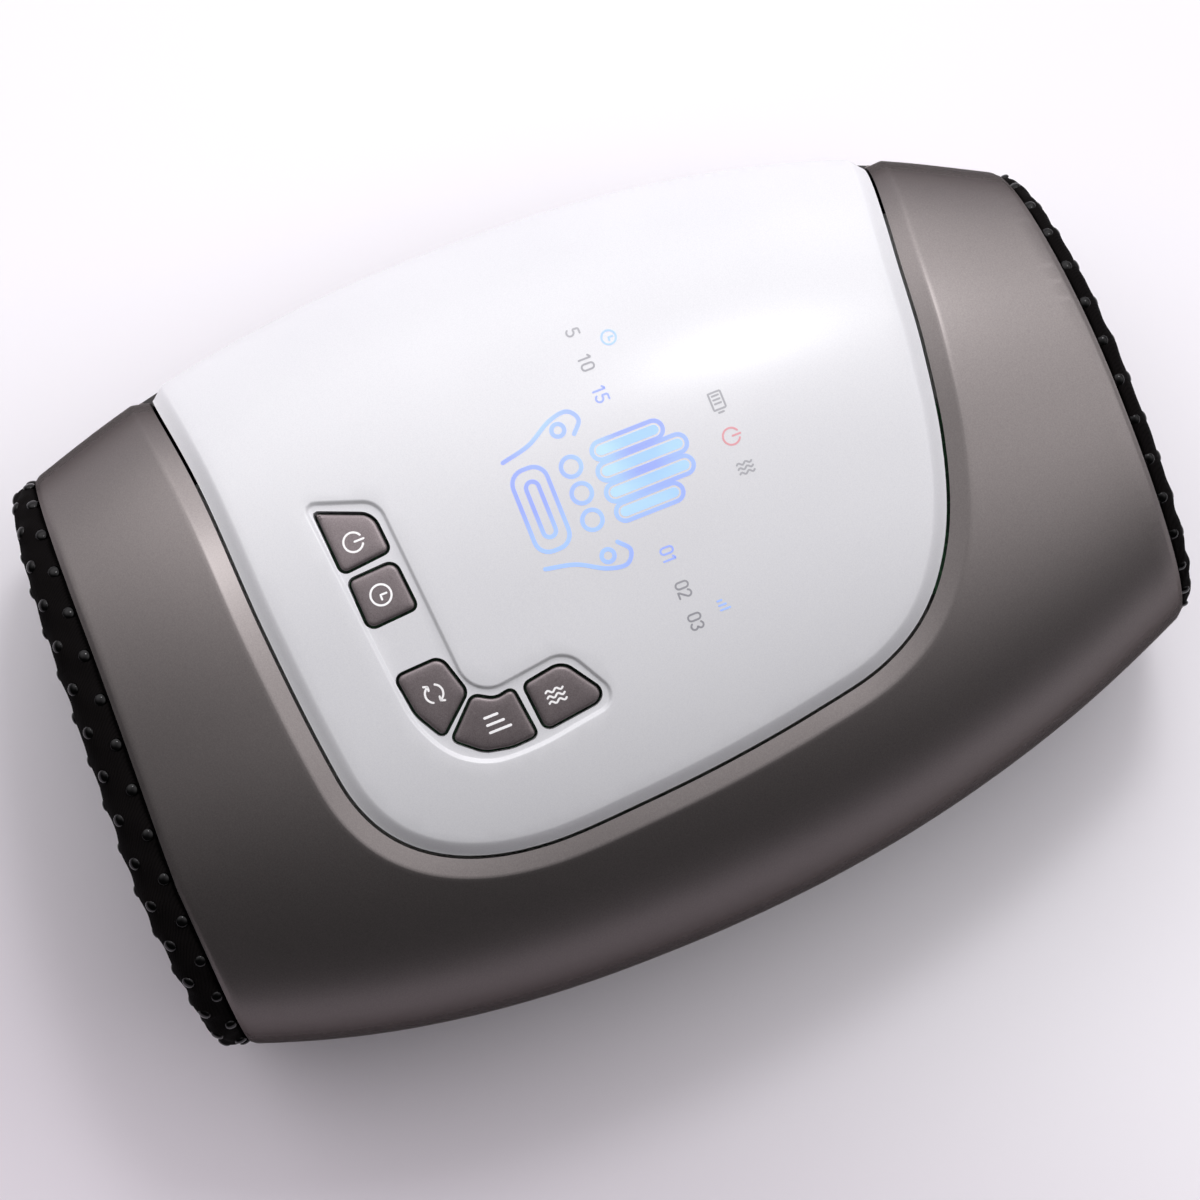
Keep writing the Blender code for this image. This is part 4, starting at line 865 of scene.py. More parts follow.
def buildLowerShell():
    patch = {"points": [], "edges": []}
    front, rear = case["frontRim"], case["rearRim"]
    spacing = panel["spacing"]

    def left(y):
        return (-math.pi + partingAngle(y)) * case["arcScale"] + base["gap"]

    def right(y):
        return -partingAngle(y) * case["arcScale"] - base["gap"]

    outer = [(left(y), y) for y in grid(front, rear, spacing)]
    outer += [(u, rear) for u in grid(outer[-1][0], right(rear), spacing)][1:]
    outer += [(right(y), y) for y in grid(rear, front, spacing)][1:]
    outer += [(u, front) for u in grid(right(front), outer[0][0], spacing)][1:-1]
    addLevelLine(patch, outer, [rimLevel(y) for u, y in outer], closed=True)
    addRims(patch, left, right)
    openings = []
    for place in screwPlaces():
        openings.append([undersideCoords(*point) for point in circle(*place, base["wellRadius"])])
    x, pitch, count, length, width = base["vents"]
    for number in range(count):
        y = pitch * (number - (count - 1) / 2)
        slot = [(x + along, y + up, 0) for along, up in stadium(length, width)]
        line = evenly(slot, 0.5 * mm, closed=True)
        openings.append([undersideCoords(point.x, point.y) for point in line])
    mouth = stadium(port["width"], port["height"])
    openings.append([flankCoords(port["y"] + across, port["z"] + up) for across, up in mouth])
    for ring in openings:
        addLevelLine(patch, ring, [0.0] * len(ring), closed=True)
    holes = [[Vector(point) for point in ring] for ring in openings]
    mesh = fillPatch("lowerShell", patch, base["net"], base["clear"], onCase, holes=holes)
    piece = addPiece("lowerShell", mesh, "base", nodes=("lower_shell",))
    thicken(piece, *panel["shellWall"])


def buildWell(number, x, y):
    # A straight well up to the screw's head, closed by a floor with the screw's hole
    wide, outside, hole = base["wellRadius"], base["bossRadius"], base["screwHole"]
    floor, roof, soft = base["wellTop"], base["wellTop"] + base["wellFloor"], base["wellSoft"]

    def onSurface(radius, height):
        return [onCase(*undersideCoords(*point), height) for point in circle(x, y, radius)]

    steps = ((wide, floor - soft), (wide - soft, floor), (hole, floor), (hole, roof), (outside, roof))
    rings = [[Vector((*point, z)) for point in circle(x, y, radius)] for radius, z in steps]
    rings = [onSurface(wide, base["wellStart"]), *rings, onSurface(outside, base["bossStart"])]
    addPiece(f"screwWell{number}", ringsMesh(f"screwWell{number}", rings), "base")


def buildPortFrame():
    rings = []
    for grow, depth in port["steps"]:
        ring = []
        for across, up in stadium(port["width"] + 2 * grow * mm, port["height"] + 2 * grow * mm):
            u, y = flankCoords(port["y"] + across, port["z"] + up)
            point = onCase(u, y)
            point.x += depth * mm
            ring.append(point)
        rings.append(ring)
    addPiece("portFrame", ringsMesh("portFrame", rings), "base")


buildPanel()
print("panel built")
buildUpperShell()
buildLowerShell()
for number, place in enumerate(screwPlaces(), 1):
    buildWell(number, *place)
buildPortFrame()
print("case built")


# Keys: domed caps with soft edges


def keyPlace(x, y, height):
    point = Vector((x, y, topAt(x, y)))
    u, _ = coordsOf(point)
    return point + caseNormal(u / case["arcScale"], y) * height


cap = {
    # Millimetres inwards from the key's outline, and below the panel's surface
    "rings": ((0.0, -1.15), (0.08, -0.95), (0.24, -0.80), (0.50, -0.71), (0.95, -0.65)),
    "top": -0.62 * mm,
    "net": 1.5 * mm,
    "clear": 0.9 * mm,
    "wall": (1.4 * mm, 0.1 * mm, 2),
}


def buildKey(name):
    line = keyLines[name]
    patch = {"points": [], "edges": []}
    for inset, height in cap["rings"]:
        ring = offset(line, -inset * mm)
        addLevelLine(patch, [(p.x, p.y) for p in ring], [height * mm] * len(ring), closed=True)
    mesh = fillPatch(name + "Key", patch, cap["net"], cap["clear"], keyPlace, lambda x, y: cap["top"])
    button = name + "_button"
    piece = addPiece(name + "Key", mesh, "key", body=button, nodes=(button,))
    thicken(piece, *cap["wall"])


for name in keypad["keys"]:
    buildKey(name)
print("keys built")


# Printed and lit graphics, laid as thin ribbons on the surface


def ribbonMesh(name, paths, width, height):
    # Each path is a list of plan points; a closed one repeats its first point
    points, faces = [], []
    for path in paths:
        line = evenly([(x, y, 0) for x, y in path], 0.35 * mm)
        closed = (line[0] - line[-1]).length < 1e-6
        count = len(line)
        start = len(points)
        for index, place in enumerate(line):
            before = line[index - 1] if index else (line[-2] if closed else place)
            after = line[index + 1] if index < count - 1 else (line[1] if closed else place)
            along = (after - before).normalized()
            side = Vector((-along.y, along.x, 0)) * width / 2
            points += [keyPlace(place.x + side.x, place.y + side.y, height)]
            points += [keyPlace(place.x - side.x, place.y - side.y, height)]
        for index in range(count - 1):
            a = start + 2 * index
            faces.append((a, a + 1, a + 3, a + 2))
        if closed:
            continue
        # Round ends
        for place, away in ((line[0], line[0] - line[1]), (line[-1], line[-1] - line[-2])):
            heading = math.atan2(away.y, away.x)
            first = len(points)
            for step in range(7):
                angle = heading - math.pi / 2 + math.pi * step / 6
                x, y = place.x + math.cos(angle) * width / 2, place.y + math.sin(angle) * width / 2
                points.append(keyPlace(x, y, height))
            faces.append(tuple(range(first, first + 7)))
    return meshFrom(name, points, faces)


def fillMesh(name, outlines, height):
    points, faces = [], []
    for outline in outlines:
        line = evenly([(x, y, 0) for x, y in outline], 0.5 * mm, closed=True)
        start = len(points)
        points += [keyPlace(p.x, p.y, height) for p in line]
        middle = sum(line, Vector()) / len(line)
        points.append(keyPlace(middle.x, middle.y, height))
        count = len(line)
        faces += [(start + i, start + (i + 1) % count, start + count) for i in range(count)]
    return meshFrom(name, points, faces)


def arc(x, y, radius, first, last, steps=20):
    found = []
    for step in range(steps + 1):
        angle = math.radians(first + (last - first) * step / steps)
        found.append((x + radius * math.cos(angle), y + radius * math.sin(angle)))
    return found


def placed(paths, x, y, size):
    return [[(x + px * size, y + py * size) for px, py in path] for path in paths]


def powerSign():
    return [arc(0, 0, 1, 118, 422), [(0, 0.15), (0, 1.1)]]


def clockSign():
    return [arc(0, 0, 1, 0, 360, 32), [(0, 0.55), (0, -0.05), (0.45, -0.05)]]


def waveSign():
    waves = []
    for shift in (-0.62, 0.0, 0.62):
        shares = [step / 24 for step in range(25)]
        waves.append([(shift + 0.17 * math.sin(t * math.pi * 4), 1 - 2 * t) for t in shares])
    return waves


def modeSign():
    # Two arrows that chase each other, a plain mode sign
    tip = [(0.42, 0.38), (0.80, 0.34), (0.92, 0.72)]
    return [arc(0, 0, 0.85, 25, 155), arc(0, 0, 0.85, 205, 335), tip, [(-x, -y) for x, y in tip]]


# Signs on the keys: place and size in millimetres
signs = {
    "power": (powerSign(), -31.0, -55.4, 2.3),
    "timer": (clockSign(), -17.3, -53.9, 2.45),
    "mode": (modeSign(), 8.4, -50.9, 2.5),
    "heat": (waveSign(), 19.1, -24.9, 2.1),
}
bars = [[(18.0, -42.2), (18.0, -39.1)], [(19.8, -42.2), (19.8, -38.2)], [(21.6, -42.2), (21.6, -37.1)]]
signs["intensity"] = (bars, 0.0, 0.0, 1.0)
signInk = {"width": 0.50 * mm, "barWidth": 0.62 * mm, "height": cap["top"] + 0.035 * mm}
for name, (paths, x, y, size) in signs.items():
    strokes = placed(paths, x * mm, y * mm, size * mm)
    width = signInk["barWidth" if name == "intensity" else "width"]
    mesh = ribbonMesh(name + "Sign", strokes, width, signInk["height"])
    addPiece(name + "Sign", mesh, "inkWhite", body=name + "_button")
print("key signs built")


# Display: figures of plain strokes on a unit grid, one wide and two high
digits = {
    "0": [arc(0.5, 1.5, 0.5, 0, 180, 12) + arc(0.5, 0.5, 0.5, 180, 360, 12) + [(1.0, 1.5)]],
    "1": [[(0.15, 1.6), (0.6, 2.0), (0.6, 0.0)]],
    "2": [arc(0.5, 1.5, 0.5, 165, -25, 14) + [(0.0, 0.0), (1.0, 0.0)]],
    "3": [arc(0.48, 1.5, 0.48, 150, -90, 14) + arc(0.48, 0.52, 0.52, 90, -150, 14)],
    "5": [[(0.95, 2.0), (0.12, 2.0), (0.06, 1.12)] + arc(0.45, 0.58, 0.58, 120, -145, 14)],
}
display = {
    # Text, place in millimetres, and whether it is lit
    "numbers": (
        ("5", -57.8, 9.9, False), ("10", -50.0, 10.1, False), ("15", -41.9, 10.4, True),
        ("01", -1.5, 11.0, True), ("02", 7.2, 11.3, False), ("03", 15.1, 11.3, False),
    ),
    "digitHeight": 3.0,
    "digitGap": 0.62,
    "stroke": 0.46 * mm,
    "height": 0.030 * mm,
    "figureStroke": 0.98 * mm,
}


def numberPaths(text, x, y):
    # Centred on (x, y), in millimetres
    scale = display["digitHeight"] / 2
    width = len(text) * scale + (len(text) - 1) * display["digitGap"]
    paths = []
    for index, figure in enumerate(text):
        left = x - width / 2 + index * (scale + display["digitGap"])
        bottom = y - display["digitHeight"] / 2
        for path in digits[figure]:
            paths.append([((left + px * scale) * mm, (bottom + py * scale) * mm) for px, py in path])
    return paths


coats["inkGrey"] = inked("greyInkPrinted", "#919297", "#a3a4a8")
coats["inkRed"] = inked("redWindowLit", "#c48087", "#cf9298", 0.10)
coats["inkBlue"] = inked("blueWindowLit", "#8e9ff0", "#9cbbf4", 0.16)
coats["inkSky"] = inked("paleBlueWindowLit", "#98bdf0", "#a9ccf4", 0.16)

grey, blue = [], []
for text, x, y, lit in display["numbers"]:
    (blue if lit else grey).extend(numberPaths(text, x, y))
blue += placed(clockSign(), -53.6 * mm, 17.2 * mm, 1.7 * mm)
grey += placed(waveSign(), -13.7 * mm, 35.2 * mm, 1.8 * mm)
battery = [(-1.0, -0.62), (0.72, -0.62), (0.72, 0.62), (-1.0, 0.62), (-1.0, -0.62)]
cells = [[(x, -0.32), (x, 0.32)] for x in (-0.66, -0.26, 0.14)]
grey += placed([battery, [(1.05, -0.25), (1.05, 0.25)], *cells], -30.2 * mm, 34.8 * mm, 2.4 * mm)
steps = [[(x, 0), (x, high)] for x, high in ((-0.5, 0.45), (0, 0.75), (0.5, 1.05))]
blue += placed(steps, 13.8 * mm, 17.6 * mm, 2.2 * mm)
red = placed(powerSign(), -21.6 * mm, 34.8 * mm, 2.0 * mm)


def capsule(x, low, high, radius):
    right = arc(x, high, radius, 0, 180, 12)
    left = arc(x, low, radius, 180, 360, 12)
    return [*right, *left, right[0]]


def roundedBox(x, y, width, depth, corner):
    corners = [(x - width / 2, y - depth / 2, corner), (x + width / 2, y - depth / 2, corner)]
    corners += [(x + width / 2, y + depth / 2, corner), (x - width / 2, y + depth / 2, corner)]
    line = [(p.x, p.y) for p in rounded(corners)]
    return [*line, line[0]]


# The plain figure in the display's middle, in millimetres
figureMiddle = -22.0
fingers = ((-29.6, 5.5, 18.6), (-24.6, 5.0, 22.6), (-19.4, 5.0, 22.2), (-14.4, 5.5, 17.6))
hook = ((13.4, 1.2), (16.2, 3.4), (19.0, 1.4), (18.2, -3.4), (14.8, -9.6), (13.2, -16.6))
figure = [capsule(x, low, high, 2.15) for x, low, high in fingers]
figure += [roundedBox(figureMiddle, -12.4, *size) for size in ((20.0, 8.4, 3.4), (13.6, 3.0, 1.5))]
figure += [arc(figureMiddle + x, -2.3, 2.35, 0, 360, 24) for x in (-6.6, 0.0, 6.6)]
for side in (-1, 1):
    curve = smoothPath([(figureMiddle + side * x, y, 0) for x, y in hook], 8)
    figure.append([(p.x, p.y) for p in curve])
    figure.append(arc(figureMiddle + side * 15.6, -2.0, 1.5, 0, 360, 20))
figureFill = [capsule(x, low, high, 1.15)[:-1] for x, low, high in fingers]

pieces = (
    ("displayGrey", grey, display["stroke"], "inkGrey"),
    ("displayBlue", blue, display["stroke"], "inkBlue"),
    ("displayRed", red, display["stroke"], "inkRed"),
    ("displayFigure", placed(figure, 0, 0, mm), display["figureStroke"], "inkBlue"),
)
for name, paths, width, coat in pieces:
    addPiece(name, ribbonMesh(name, paths, width, display["height"]), coat)
mesh = fillMesh("displayFingers", placed(figureFill, 0, 0, mm), display["height"])
addPiece("displayFingers", mesh, "inkSky")
print("display built")


# Tunnel forms, as in the CAD: superellipses about the tunnel's middle height
tunnel = {
    "middle": 45.8 * mm,
    "power": 3.2,
    "halfWidth": 51.5 * mm,
    "halfHeight": 25.0 * mm,
    "sideShare": 0.4724,
    "bagEnds": (-80.0 * mm, 72.0 * mm),
    "lipEnds": (-115.0 * mm, 117.0 * mm),
    "bag": (5.4 * mm, 7.0 * mm),  # depth and thickness
}
# Padded lips. Reach is how far one stands proud of its rim, and sideShare the share of it left at the sides;
# rows are places of studs along the profile, lift raises the studs, rise swells the fabric around them
lips = {
    "front": {
        "rim": case["frontRim"],
        "way": -1,
        "reach": 9.6 * mm,
        "sideShare": 0.82,
        "pitch": 11.0 * mm,
        "rows": (0.165, 0.295, 0.46, 0.61),
        "lift": 0.25 * mm,
        "rise": 0.6,
    },
    "rear": {
        "rim": case["rearRim"],
        "way": 1,
        "reach": 4.6 * mm,
        "sideShare": 0.80,
        "pitch": 9.8 * mm,
        "rows": (0.165, 0.375, 0.50, 0.63),
        "lift": -0.2 * mm,
        "rise": 0.2,
    },
    # Shares of the way in from the case to the tunnel, and of the reach
    "profile": (
        (-0.02, -0.45), (0.0, -0.05), (-0.12, 0.12), (-0.13, 0.38), (-0.03, 0.72), (0.18, 0.94),
        (0.42, 1.0), (0.68, 0.92), (0.90, 0.64), (1.0, 0.2), (1.02, -0.3), (1.0, -0.85),
        (0.5, -0.86), (0.0, -0.85),
    ),
    "steps": 288,
    "gap": 0.4 * mm,  # between lip and case
    "frontDepth": 13.5 * mm,  # from the case to the tunnel
    "rearDepth": 10.5 * mm,
    "swellReach": 3.2 * mm,  # radius around a stud over which the fabric swells
    "fill": 0.7,
}


def tunnelPoint(y, angle, width, height):
    cosine, sine = math.cos(angle), math.sin(angle)
    x = width * math.copysign(abs(cosine) ** (2 / tunnel["power"]), cosine)
    z = height * math.copysign(abs(sine) ** (2 / tunnel["power"]), sine)
    return Vector((x, y, tunnel["middle"] + z))


def mouthSize(front):
    rim = case["frontRim"] if front else case["rearRim"]
    thickness = lips["frontDepth" if front else "rearDepth"] + case["wall"]
    width = min(halfWidthAt(rim) - thickness, tunnel["halfWidth"] + 4 * mm)
    return width, min(crownAt(rim) - thickness - tunnel["middle"], tunnel["halfHeight"] * 1.1)


def lipPoint(end, across, out, angle):
    side = math.cos(angle) ** 2 if out > 0 else 0
    y = end["rim"] + end["way"] * end["reach"] * out * (1 - (1 - end["sideShare"]) * side)
    insideY = y if abs(y) < abs(end["rim"]) else end["rim"]
    outer = casePoint(angle, insideY, case["wall"] + lips["gap"])
    outer.y = y
    return outer.lerp(tunnelPoint(y, angle, *mouthSize(end["way"] < 0)), across)


def lipNormal(end, profile, t, angle):
    def at(share, turn):
        return lipPoint(end, *profileAt(profile, share), turn)

    along = at(t + 0.004, angle) - at(t - 0.004, angle)
    around = at(t, angle + 0.01) - at(t, angle - 0.01)
    return along.cross(around).normalized() * end["way"]


def profileAt(profile, t):
    place = (t % 1) * len(profile)
    index = int(place)
    first, last = profile[index % len(profile)], profile[(index + 1) % len(profile)]
    return [first[axis] + (last[axis] - first[axis]) * (place - index) for axis in (0, 1)]


def evenAngles(pointAt, pitch, shift):
    # Angles that lie at an even spacing along a ring
    steps = 360
    lengths = lengthsAlong([pointAt(2 * math.pi * step / steps) for step in range(steps + 1)])
    count = 2 * round(lengths[-1] / pitch / 2)
    found, index = [], 0
    for number in range(count):
        target = lengths[-1] * (number + shift) / count
        while lengths[index + 1] < target:
            index += 1
        share = (target - lengths[index]) / (lengths[index + 1] - lengths[index])
        found.append(2 * math.pi * (index + share) / steps)
    return found


# Radius and height of a stud's rings, in millimetres
stud = {
    "rings": ((1.62, -0.40), (1.60, -0.12), (1.50, 0.08), (1.28, 0.28), (0.94, 0.46), (0.50, 0.57)),
    "top": 0.60,
    "sides": 14,
}


def studMesh(name, spots):
    # Low domes set on the fabric; each spot is a place and the direction it faces
    points, faces = [], []
    sides, rings = stud["sides"], stud["rings"]
    for place, normal in spots:
        turn = normal.to_track_quat("Z", "Y").to_matrix()
        start = len(points)
        for radius, height in rings:
            for x, y in circle(0, 0, radius, sides):
                points.append(place + turn @ Vector((x, y, height)) * mm)
        top = len(points)
        points.append(place + normal * stud["top"] * mm)
        faces += quadFaces(len(rings), sides, start=start)
        last = top - sides
        faces += [(last + side, last + (side + 1) % sides, top) for side in range(sides)]
    return meshFrom(name, points, faces)


def knittedFabric(name, low, high):
    # Knitted polyester over foam: matt, with a fine knit
    material, shader, place = newMaterial(name, {"Roughness": 0.88, "Specular IOR Level": 0.03})
    knit = waves(material, place, "DIAGONAL", 1.6 * mm, 3.0)
    fuzz = noise(material, place, 0.5 * mm, 3.0)
    height = mixed(material, knit, fuzz, 0.8)
    return finish(
        material,
        shader,
        colour=colourRamp(material, height, low, high, 0.2, 0.9),
        roughness=valueRange(material, fuzz, 0.80, 0.95),
        normal=bump(material, height, 0.08 * mm, 0.6),
    )


coats["fabric"] = knittedFabric("blackPolyesterKnitted", "#060505", "#0e0c0c")
coats["liner"] = knittedFabric("charcoalLinerKnitted", "#1d1c1e", "#2e2c2f")
coats["stud"] = moulded(
    "glossyBlackSiliconeDots", "#020202", "#040404", 0.05, 0.7 * mm, 0.002 * mm, {"Specular IOR Level": 0.2}
)
coats["film"] = moulded("greyTpuFilmWelded", "#5c5f63", "#6f7277", 0.45, 1.2 * mm, 0.02 * mm)


def lipSwell(end, angle, across, out, reach):
    # Millimetres by which the fabric stands out: soft folds, and a swelling around each stud
    folds = 0.25 * math.sin(angle * 23 + across * 4) + 0.2 * math.sin(angle * 41 - out * 5)
    return folds * 0.5 + end["rise"] * (math.exp(-((reach / lips["swellReach"]) ** 2)) - 0.5)


def buildLip(key):
    end = lips[key]
    profile = [(p.x, p.y) for p in smoothPath([(a, o, 0) for a, o in lips["profile"]], 4, closed=True)]
    spots = []
    for row, t in enumerate(end["rows"]):
        across, out = profileAt(profile, t)
        angles = evenAngles(lambda turn: lipPoint(end, across, out, turn), end["pitch"], 0.5 * (row % 2))
        for angle in angles:
            spots.append((lipPoint(end, across, out, angle), lipNormal(end, profile, t, angle)))
    tree = kdtree.KDTree(len(spots))
    for number, (place, _) in enumerate(spots):
        tree.insert(place, number)
    tree.balance()
    points = []
    steps, count = lips["steps"], len(profile)
    for step in range(steps):
        angle = 2 * math.pi * step / steps
        for number, (across, out) in enumerate(profile):
            point = lipPoint(end, across, out, angle)
            if out > 0.0:
                swell = lipSwell(end, angle, across, out, tree.find(point)[2])
                point += lipNormal(end, profile, number / count, angle) * swell * mm
            points.append(point)
    mesh = meshFrom(key + "Lip", points, quadFaces(steps, count, closedRows=True), closed=True)
    lip = addPiece(key + "Lip", mesh, "fabric", nodes=(key + "_lip",))
    lifted = [(place + normal * end["lift"], normal) for place, normal in spots]
    addPiece(key + "LipStuds", studMesh(key + "LipStuds", lifted), "stud")


buildLip("front")
buildLip("rear")
print("lips built")


# Liner: fabric halves over and under the hand, over the pressure plates


def linerSize(y):
    if y < tunnel["bagEnds"][0]:
        share = (tunnel["bagEnds"][0] - y) / (tunnel["bagEnds"][0] - tunnel["lipEnds"][0])
    else:
        share = max(0, y - tunnel["bagEnds"][1]) / (tunnel["lipEnds"][1] - tunnel["bagEnds"][1])
    width, height = mouthSize(y < 0)
    turn = ease(share)
    flareX, flareZ = width - tunnel["halfWidth"], height - tunnel["halfHeight"]
    return tunnel["halfWidth"] + flareX * turn, tunnel["halfHeight"] + flareZ * turn


def linerPoint(y, angle, depth=0.0):
    width, height = linerSize(y)
    return tunnelPoint(y, angle, width + depth, height + depth)


def applyModifiers(piece):
    mesh = bpy.data.meshes.new_from_object(piece.evaluated_get(bpy.context.evaluated_depsgraph_get()))
    piece.modifiers.clear()
    piece.data = mesh
    mesh.name = piece.name


def thinSheet(name, rows, wall, coat):
    # Rows of points, all of one length, as a cloth or film of even thickness
    points = [point for row in rows for point in row]
    faces = quadFaces(len(rows), len(rows[0]), closedColumns=False)
    piece = newObject(name, meshFrom(name, points, faces))
    shell = piece.modifiers.new("wall", "SOLIDIFY")
    shell.thickness, shell.offset = wall, -1
    applyModifiers(piece)
    piece.data.materials.append(coats[coat])
    return piece


linerPlan = {
    "net": 3.0 * mm,
    "columns": 60,
    "seam": 0.012,  # angle left free at each side for the piping
    "lap": 0.3 * mm,  # distance kept from the lips' ends
    "lift": 0.2 * mm,
    "wall": 1.1 * mm,
    "quietColumns": 5,  # the wrinkles fade over these towards the sides
    "quietLength": 8.0 * mm,  # and over this towards the lips
    "plateHeight": 21.9 * mm,
    "studPitch": 22.0 * mm,
    "studLift": 0.45 * mm,
    "studMargin": 0.16,  # angle kept free of studs at each side
    # Radius, way out, distance from the lips, spacing of points
    "piping": (0.9 * mm, 0.3 * mm, 0.5 * mm, 4.0 * mm),
}


def linerWrinkle(y, angle):
    across = 0.16 * math.sin(y / (7.5 * mm) + 3 * math.sin(angle * 3))
    return (across + 0.12 * math.sin(angle * 19 + y / (21 * mm))) * mm


def blendLiner(piece, part):
    # Bakes the piece's place into its mesh, the middle part over the plate and the parts towards the lips
    # alike
    if part == "Middle":
        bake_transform(piece)
        return
    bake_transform(piece)


def linerRow(y, side):
    first, last = tunnel["lipEnds"]
    columns, seam, quiet = linerPlan["columns"], linerPlan["seam"], linerPlan["quietLength"]
    row = []
    for step in range(columns + 1):
        angle = seam + (math.pi - 2 * seam) * step / columns
        fade = min(step, columns - step) / linerPlan["quietColumns"]
        fade = min(1, fade, (y - first) / quiet, (last - y) / quiet)
        row.append(linerPoint(y, side * angle, linerWrinkle(y, angle) * fade + linerPlan["lift"]))
    return row if side > 0 else row[::-1]


def linerSpots(low, high, side):
    # Places of the studs on a part of the liner, and the directions that they face
    pitch, margin = linerPlan["studPitch"], linerPlan["studMargin"]
    spots = []
    count = max(1, round((high - low) / pitch * 2))
    for row in range(count):
        y = low + (high - low) * (row + 0.5) / count
        for angle in evenAngles(lambda around: linerPoint(y, around), pitch, 0.5 * (row % 2)):
            turn = angle if side > 0 else 2 * math.pi - angle
            if margin < turn < math.pi - margin:
                place = linerPoint(y, side * turn, linerPlan["studLift"])
                ahead = linerPoint(y, side * turn + 0.01) - linerPoint(y, side * turn - 0.01)
                along = linerPoint(y + mm, side * turn) - linerPoint(y - mm, side * turn)
                spots.append((place, ahead.cross(along).normalized() * -1))
    return spots


def buildLiner():
    front, rear = tunnel["bagEnds"]
    first, last = tunnel["lipEnds"]
    lap = linerPlan["lap"]
    parts = {"Front": (first + lap, front), "Middle": (front, rear), "Rear": (rear, last - lap)}
    for word, side in (("upper", 1), ("lower", -1)):
        for part, (low, high) in parts.items():
            name = word + "Liner" + part
            rows = [linerRow(y, side) for y in grid(low, high, linerPlan["net"])]
            piece = thinSheet(name, rows, linerPlan["wall"], "liner")
            dots = newObject(name + "Studs", studMesh(name + "Studs", linerSpots(low, high, side)))
            dots.data.materials.append(coats["stud"])
            for made in (piece, dots):
                blendLiner(made, part)
            if part == "Middle":
                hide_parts(word + "_liner")


buildLiner()
print("liner built")


# Piping along the seam between the liner halves


def tubeAlong(name, places, radius, sides=10):
    points = []
    count = len(places)
    for index, place in enumerate(places):
        before, after = places[max(index - 1, 0)], places[min(index + 1, count - 1)]
        along = (after - before).normalized()
        across = along.cross(Vector((0, 0, 1))).normalized()
        up = across.cross(along).normalized()
        points += [place + across * a + up * b for a, b in circle(0, 0, radius, sides)]
    faces = quadFaces(count, sides)
    faces += [tuple(range(sides))[::-1], tuple(range((count - 1) * sides, count * sides))]
    return meshFrom(name, points, faces, closed=True)


for word, side in (("left", -1), ("right", 1)):
    radius, out, margin, spacing = linerPlan["piping"]
    line = []
    for y in grid(tunnel["lipEnds"][0] + margin, tunnel["lipEnds"][1] - margin, spacing):
        line.append(Vector((side * (linerSize(y)[0] + out), y, tunnel["middle"])))
    mesh = tubeAlong(word + "LinerPiping", line, radius)
    addPiece(word + "LinerPiping", mesh, "liner")


# Air bags: an outer film against the frame and an inner film that the plate follows


bagPlan = {
    "free": math.pi * 4 / 20,  # angle that the bag leaves free at each side
    "net": 2.2 * mm,
    "columns": 48,
    "columnWidth": 2.1 * mm,
    "border": 2.0 * mm,  # width of the welded border
    "shoulder": 6.0 * mm,  # and of the slope beside it
    "cells": 4,
    "valley": 0.45,  # share of the height that is left between cells
    "weld": 0.04,  # half the thickness at the border, as a share of the bag's
    "swell": 0.44,  # and what a cell adds to it
    "wall": 0.3 * mm,
    "follows": (21.8 * mm, 26.6 * mm),  # heights between which the film comes to follow the plate
    "nozzleAngle": math.pi * 15 / 20,
    "nozzleFit": 0.97,  # of the solid nozzle's radius
    "nozzleBore": 0.6,
    "nozzleLead": 0.3 * mm,
}


def bagPoint(y, angle, depth):
    width = tunnel["halfWidth"] + depth * tunnel["sideShare"]
    return tunnelPoint(y, angle, width, tunnel["halfHeight"] + depth)


def bagDepth(y, step, way):
    # Two films welded at the border, with cells that puff up across the hand
    low, high = tunnel["bagEnds"]
    depth, thickness = tunnel["bag"]
    border = min(min(step, bagPlan["columns"] - step) * bagPlan["columnWidth"], y - low, high - y)
    cells = abs(math.sin((y - low) / (high - low) * math.pi * bagPlan["cells"])) ** 0.5
    puff = ease((border - bagPlan["border"]) / bagPlan["shoulder"])
    puff *= bagPlan["valley"] + (1 - bagPlan["valley"]) * cells
    return depth + thickness * (0.5 + way * (bagPlan["weld"] + bagPlan["swell"] * puff))


def buildBag(word, side):
    columns, free = bagPlan["columns"], bagPlan["free"]
    for face, way in (("Outer", 1), ("Inner", -1)):
        rows = []
        for y in grid(*tunnel["bagEnds"], bagPlan["net"]):
            row = []
            for step in range(columns + 1):
                angle = free + (math.pi - 2 * free) * step / columns
                row.append(bagPoint(y, side * angle, bagDepth(y, step, way)))
            rows.append(row if side * way < 0 else row[::-1])
        piece = thinSheet(word + "Bag" + face, rows, bagPlan["wall"], "film")
        if face == "Inner":
            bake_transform(piece)
        else:
            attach(piece, "root")
            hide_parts(word + "_airbag")


def buildNozzle(word, side):
    # The bag's air nozzle goes through the frame's hole to the hose; its place and radius are the solid's
    node = frame["nodes"][word + "_airbag"]
    points = [node.matrix_world @ vert.co for vert in node.data.vertices]
    tip = min(point.x for point in points)
    end = [point for point in points if point.x < tip + 0.01 * mm]
    middle = sum(end, Vector()) / len(end)
    radius = max((point - middle).length for point in end) * bagPlan["nozzleFit"]
    bore, lead = radius * bagPlan["nozzleBore"], bagPlan["nozzleLead"]
    start = bagPoint(middle.y, side * bagPlan["nozzleAngle"], tunnel["bag"][0] + tunnel["bag"][1] / 2).x
    steps = ((start, radius), (tip + lead, radius), (tip, radius - lead), (tip, bore), (start, bore))
    rings = [[Vector((x, *point)) for point in circle(middle.y, middle.z, size, 24)] for x, size in steps]
    addPiece(word + "BagNozzle", ringsMesh(word + "BagNozzle", rings), "film")


for word, side in (("upper", 1), ("lower", -1)):
    buildBag(word, side)
    buildNozzle(word, side)
print("bags built")


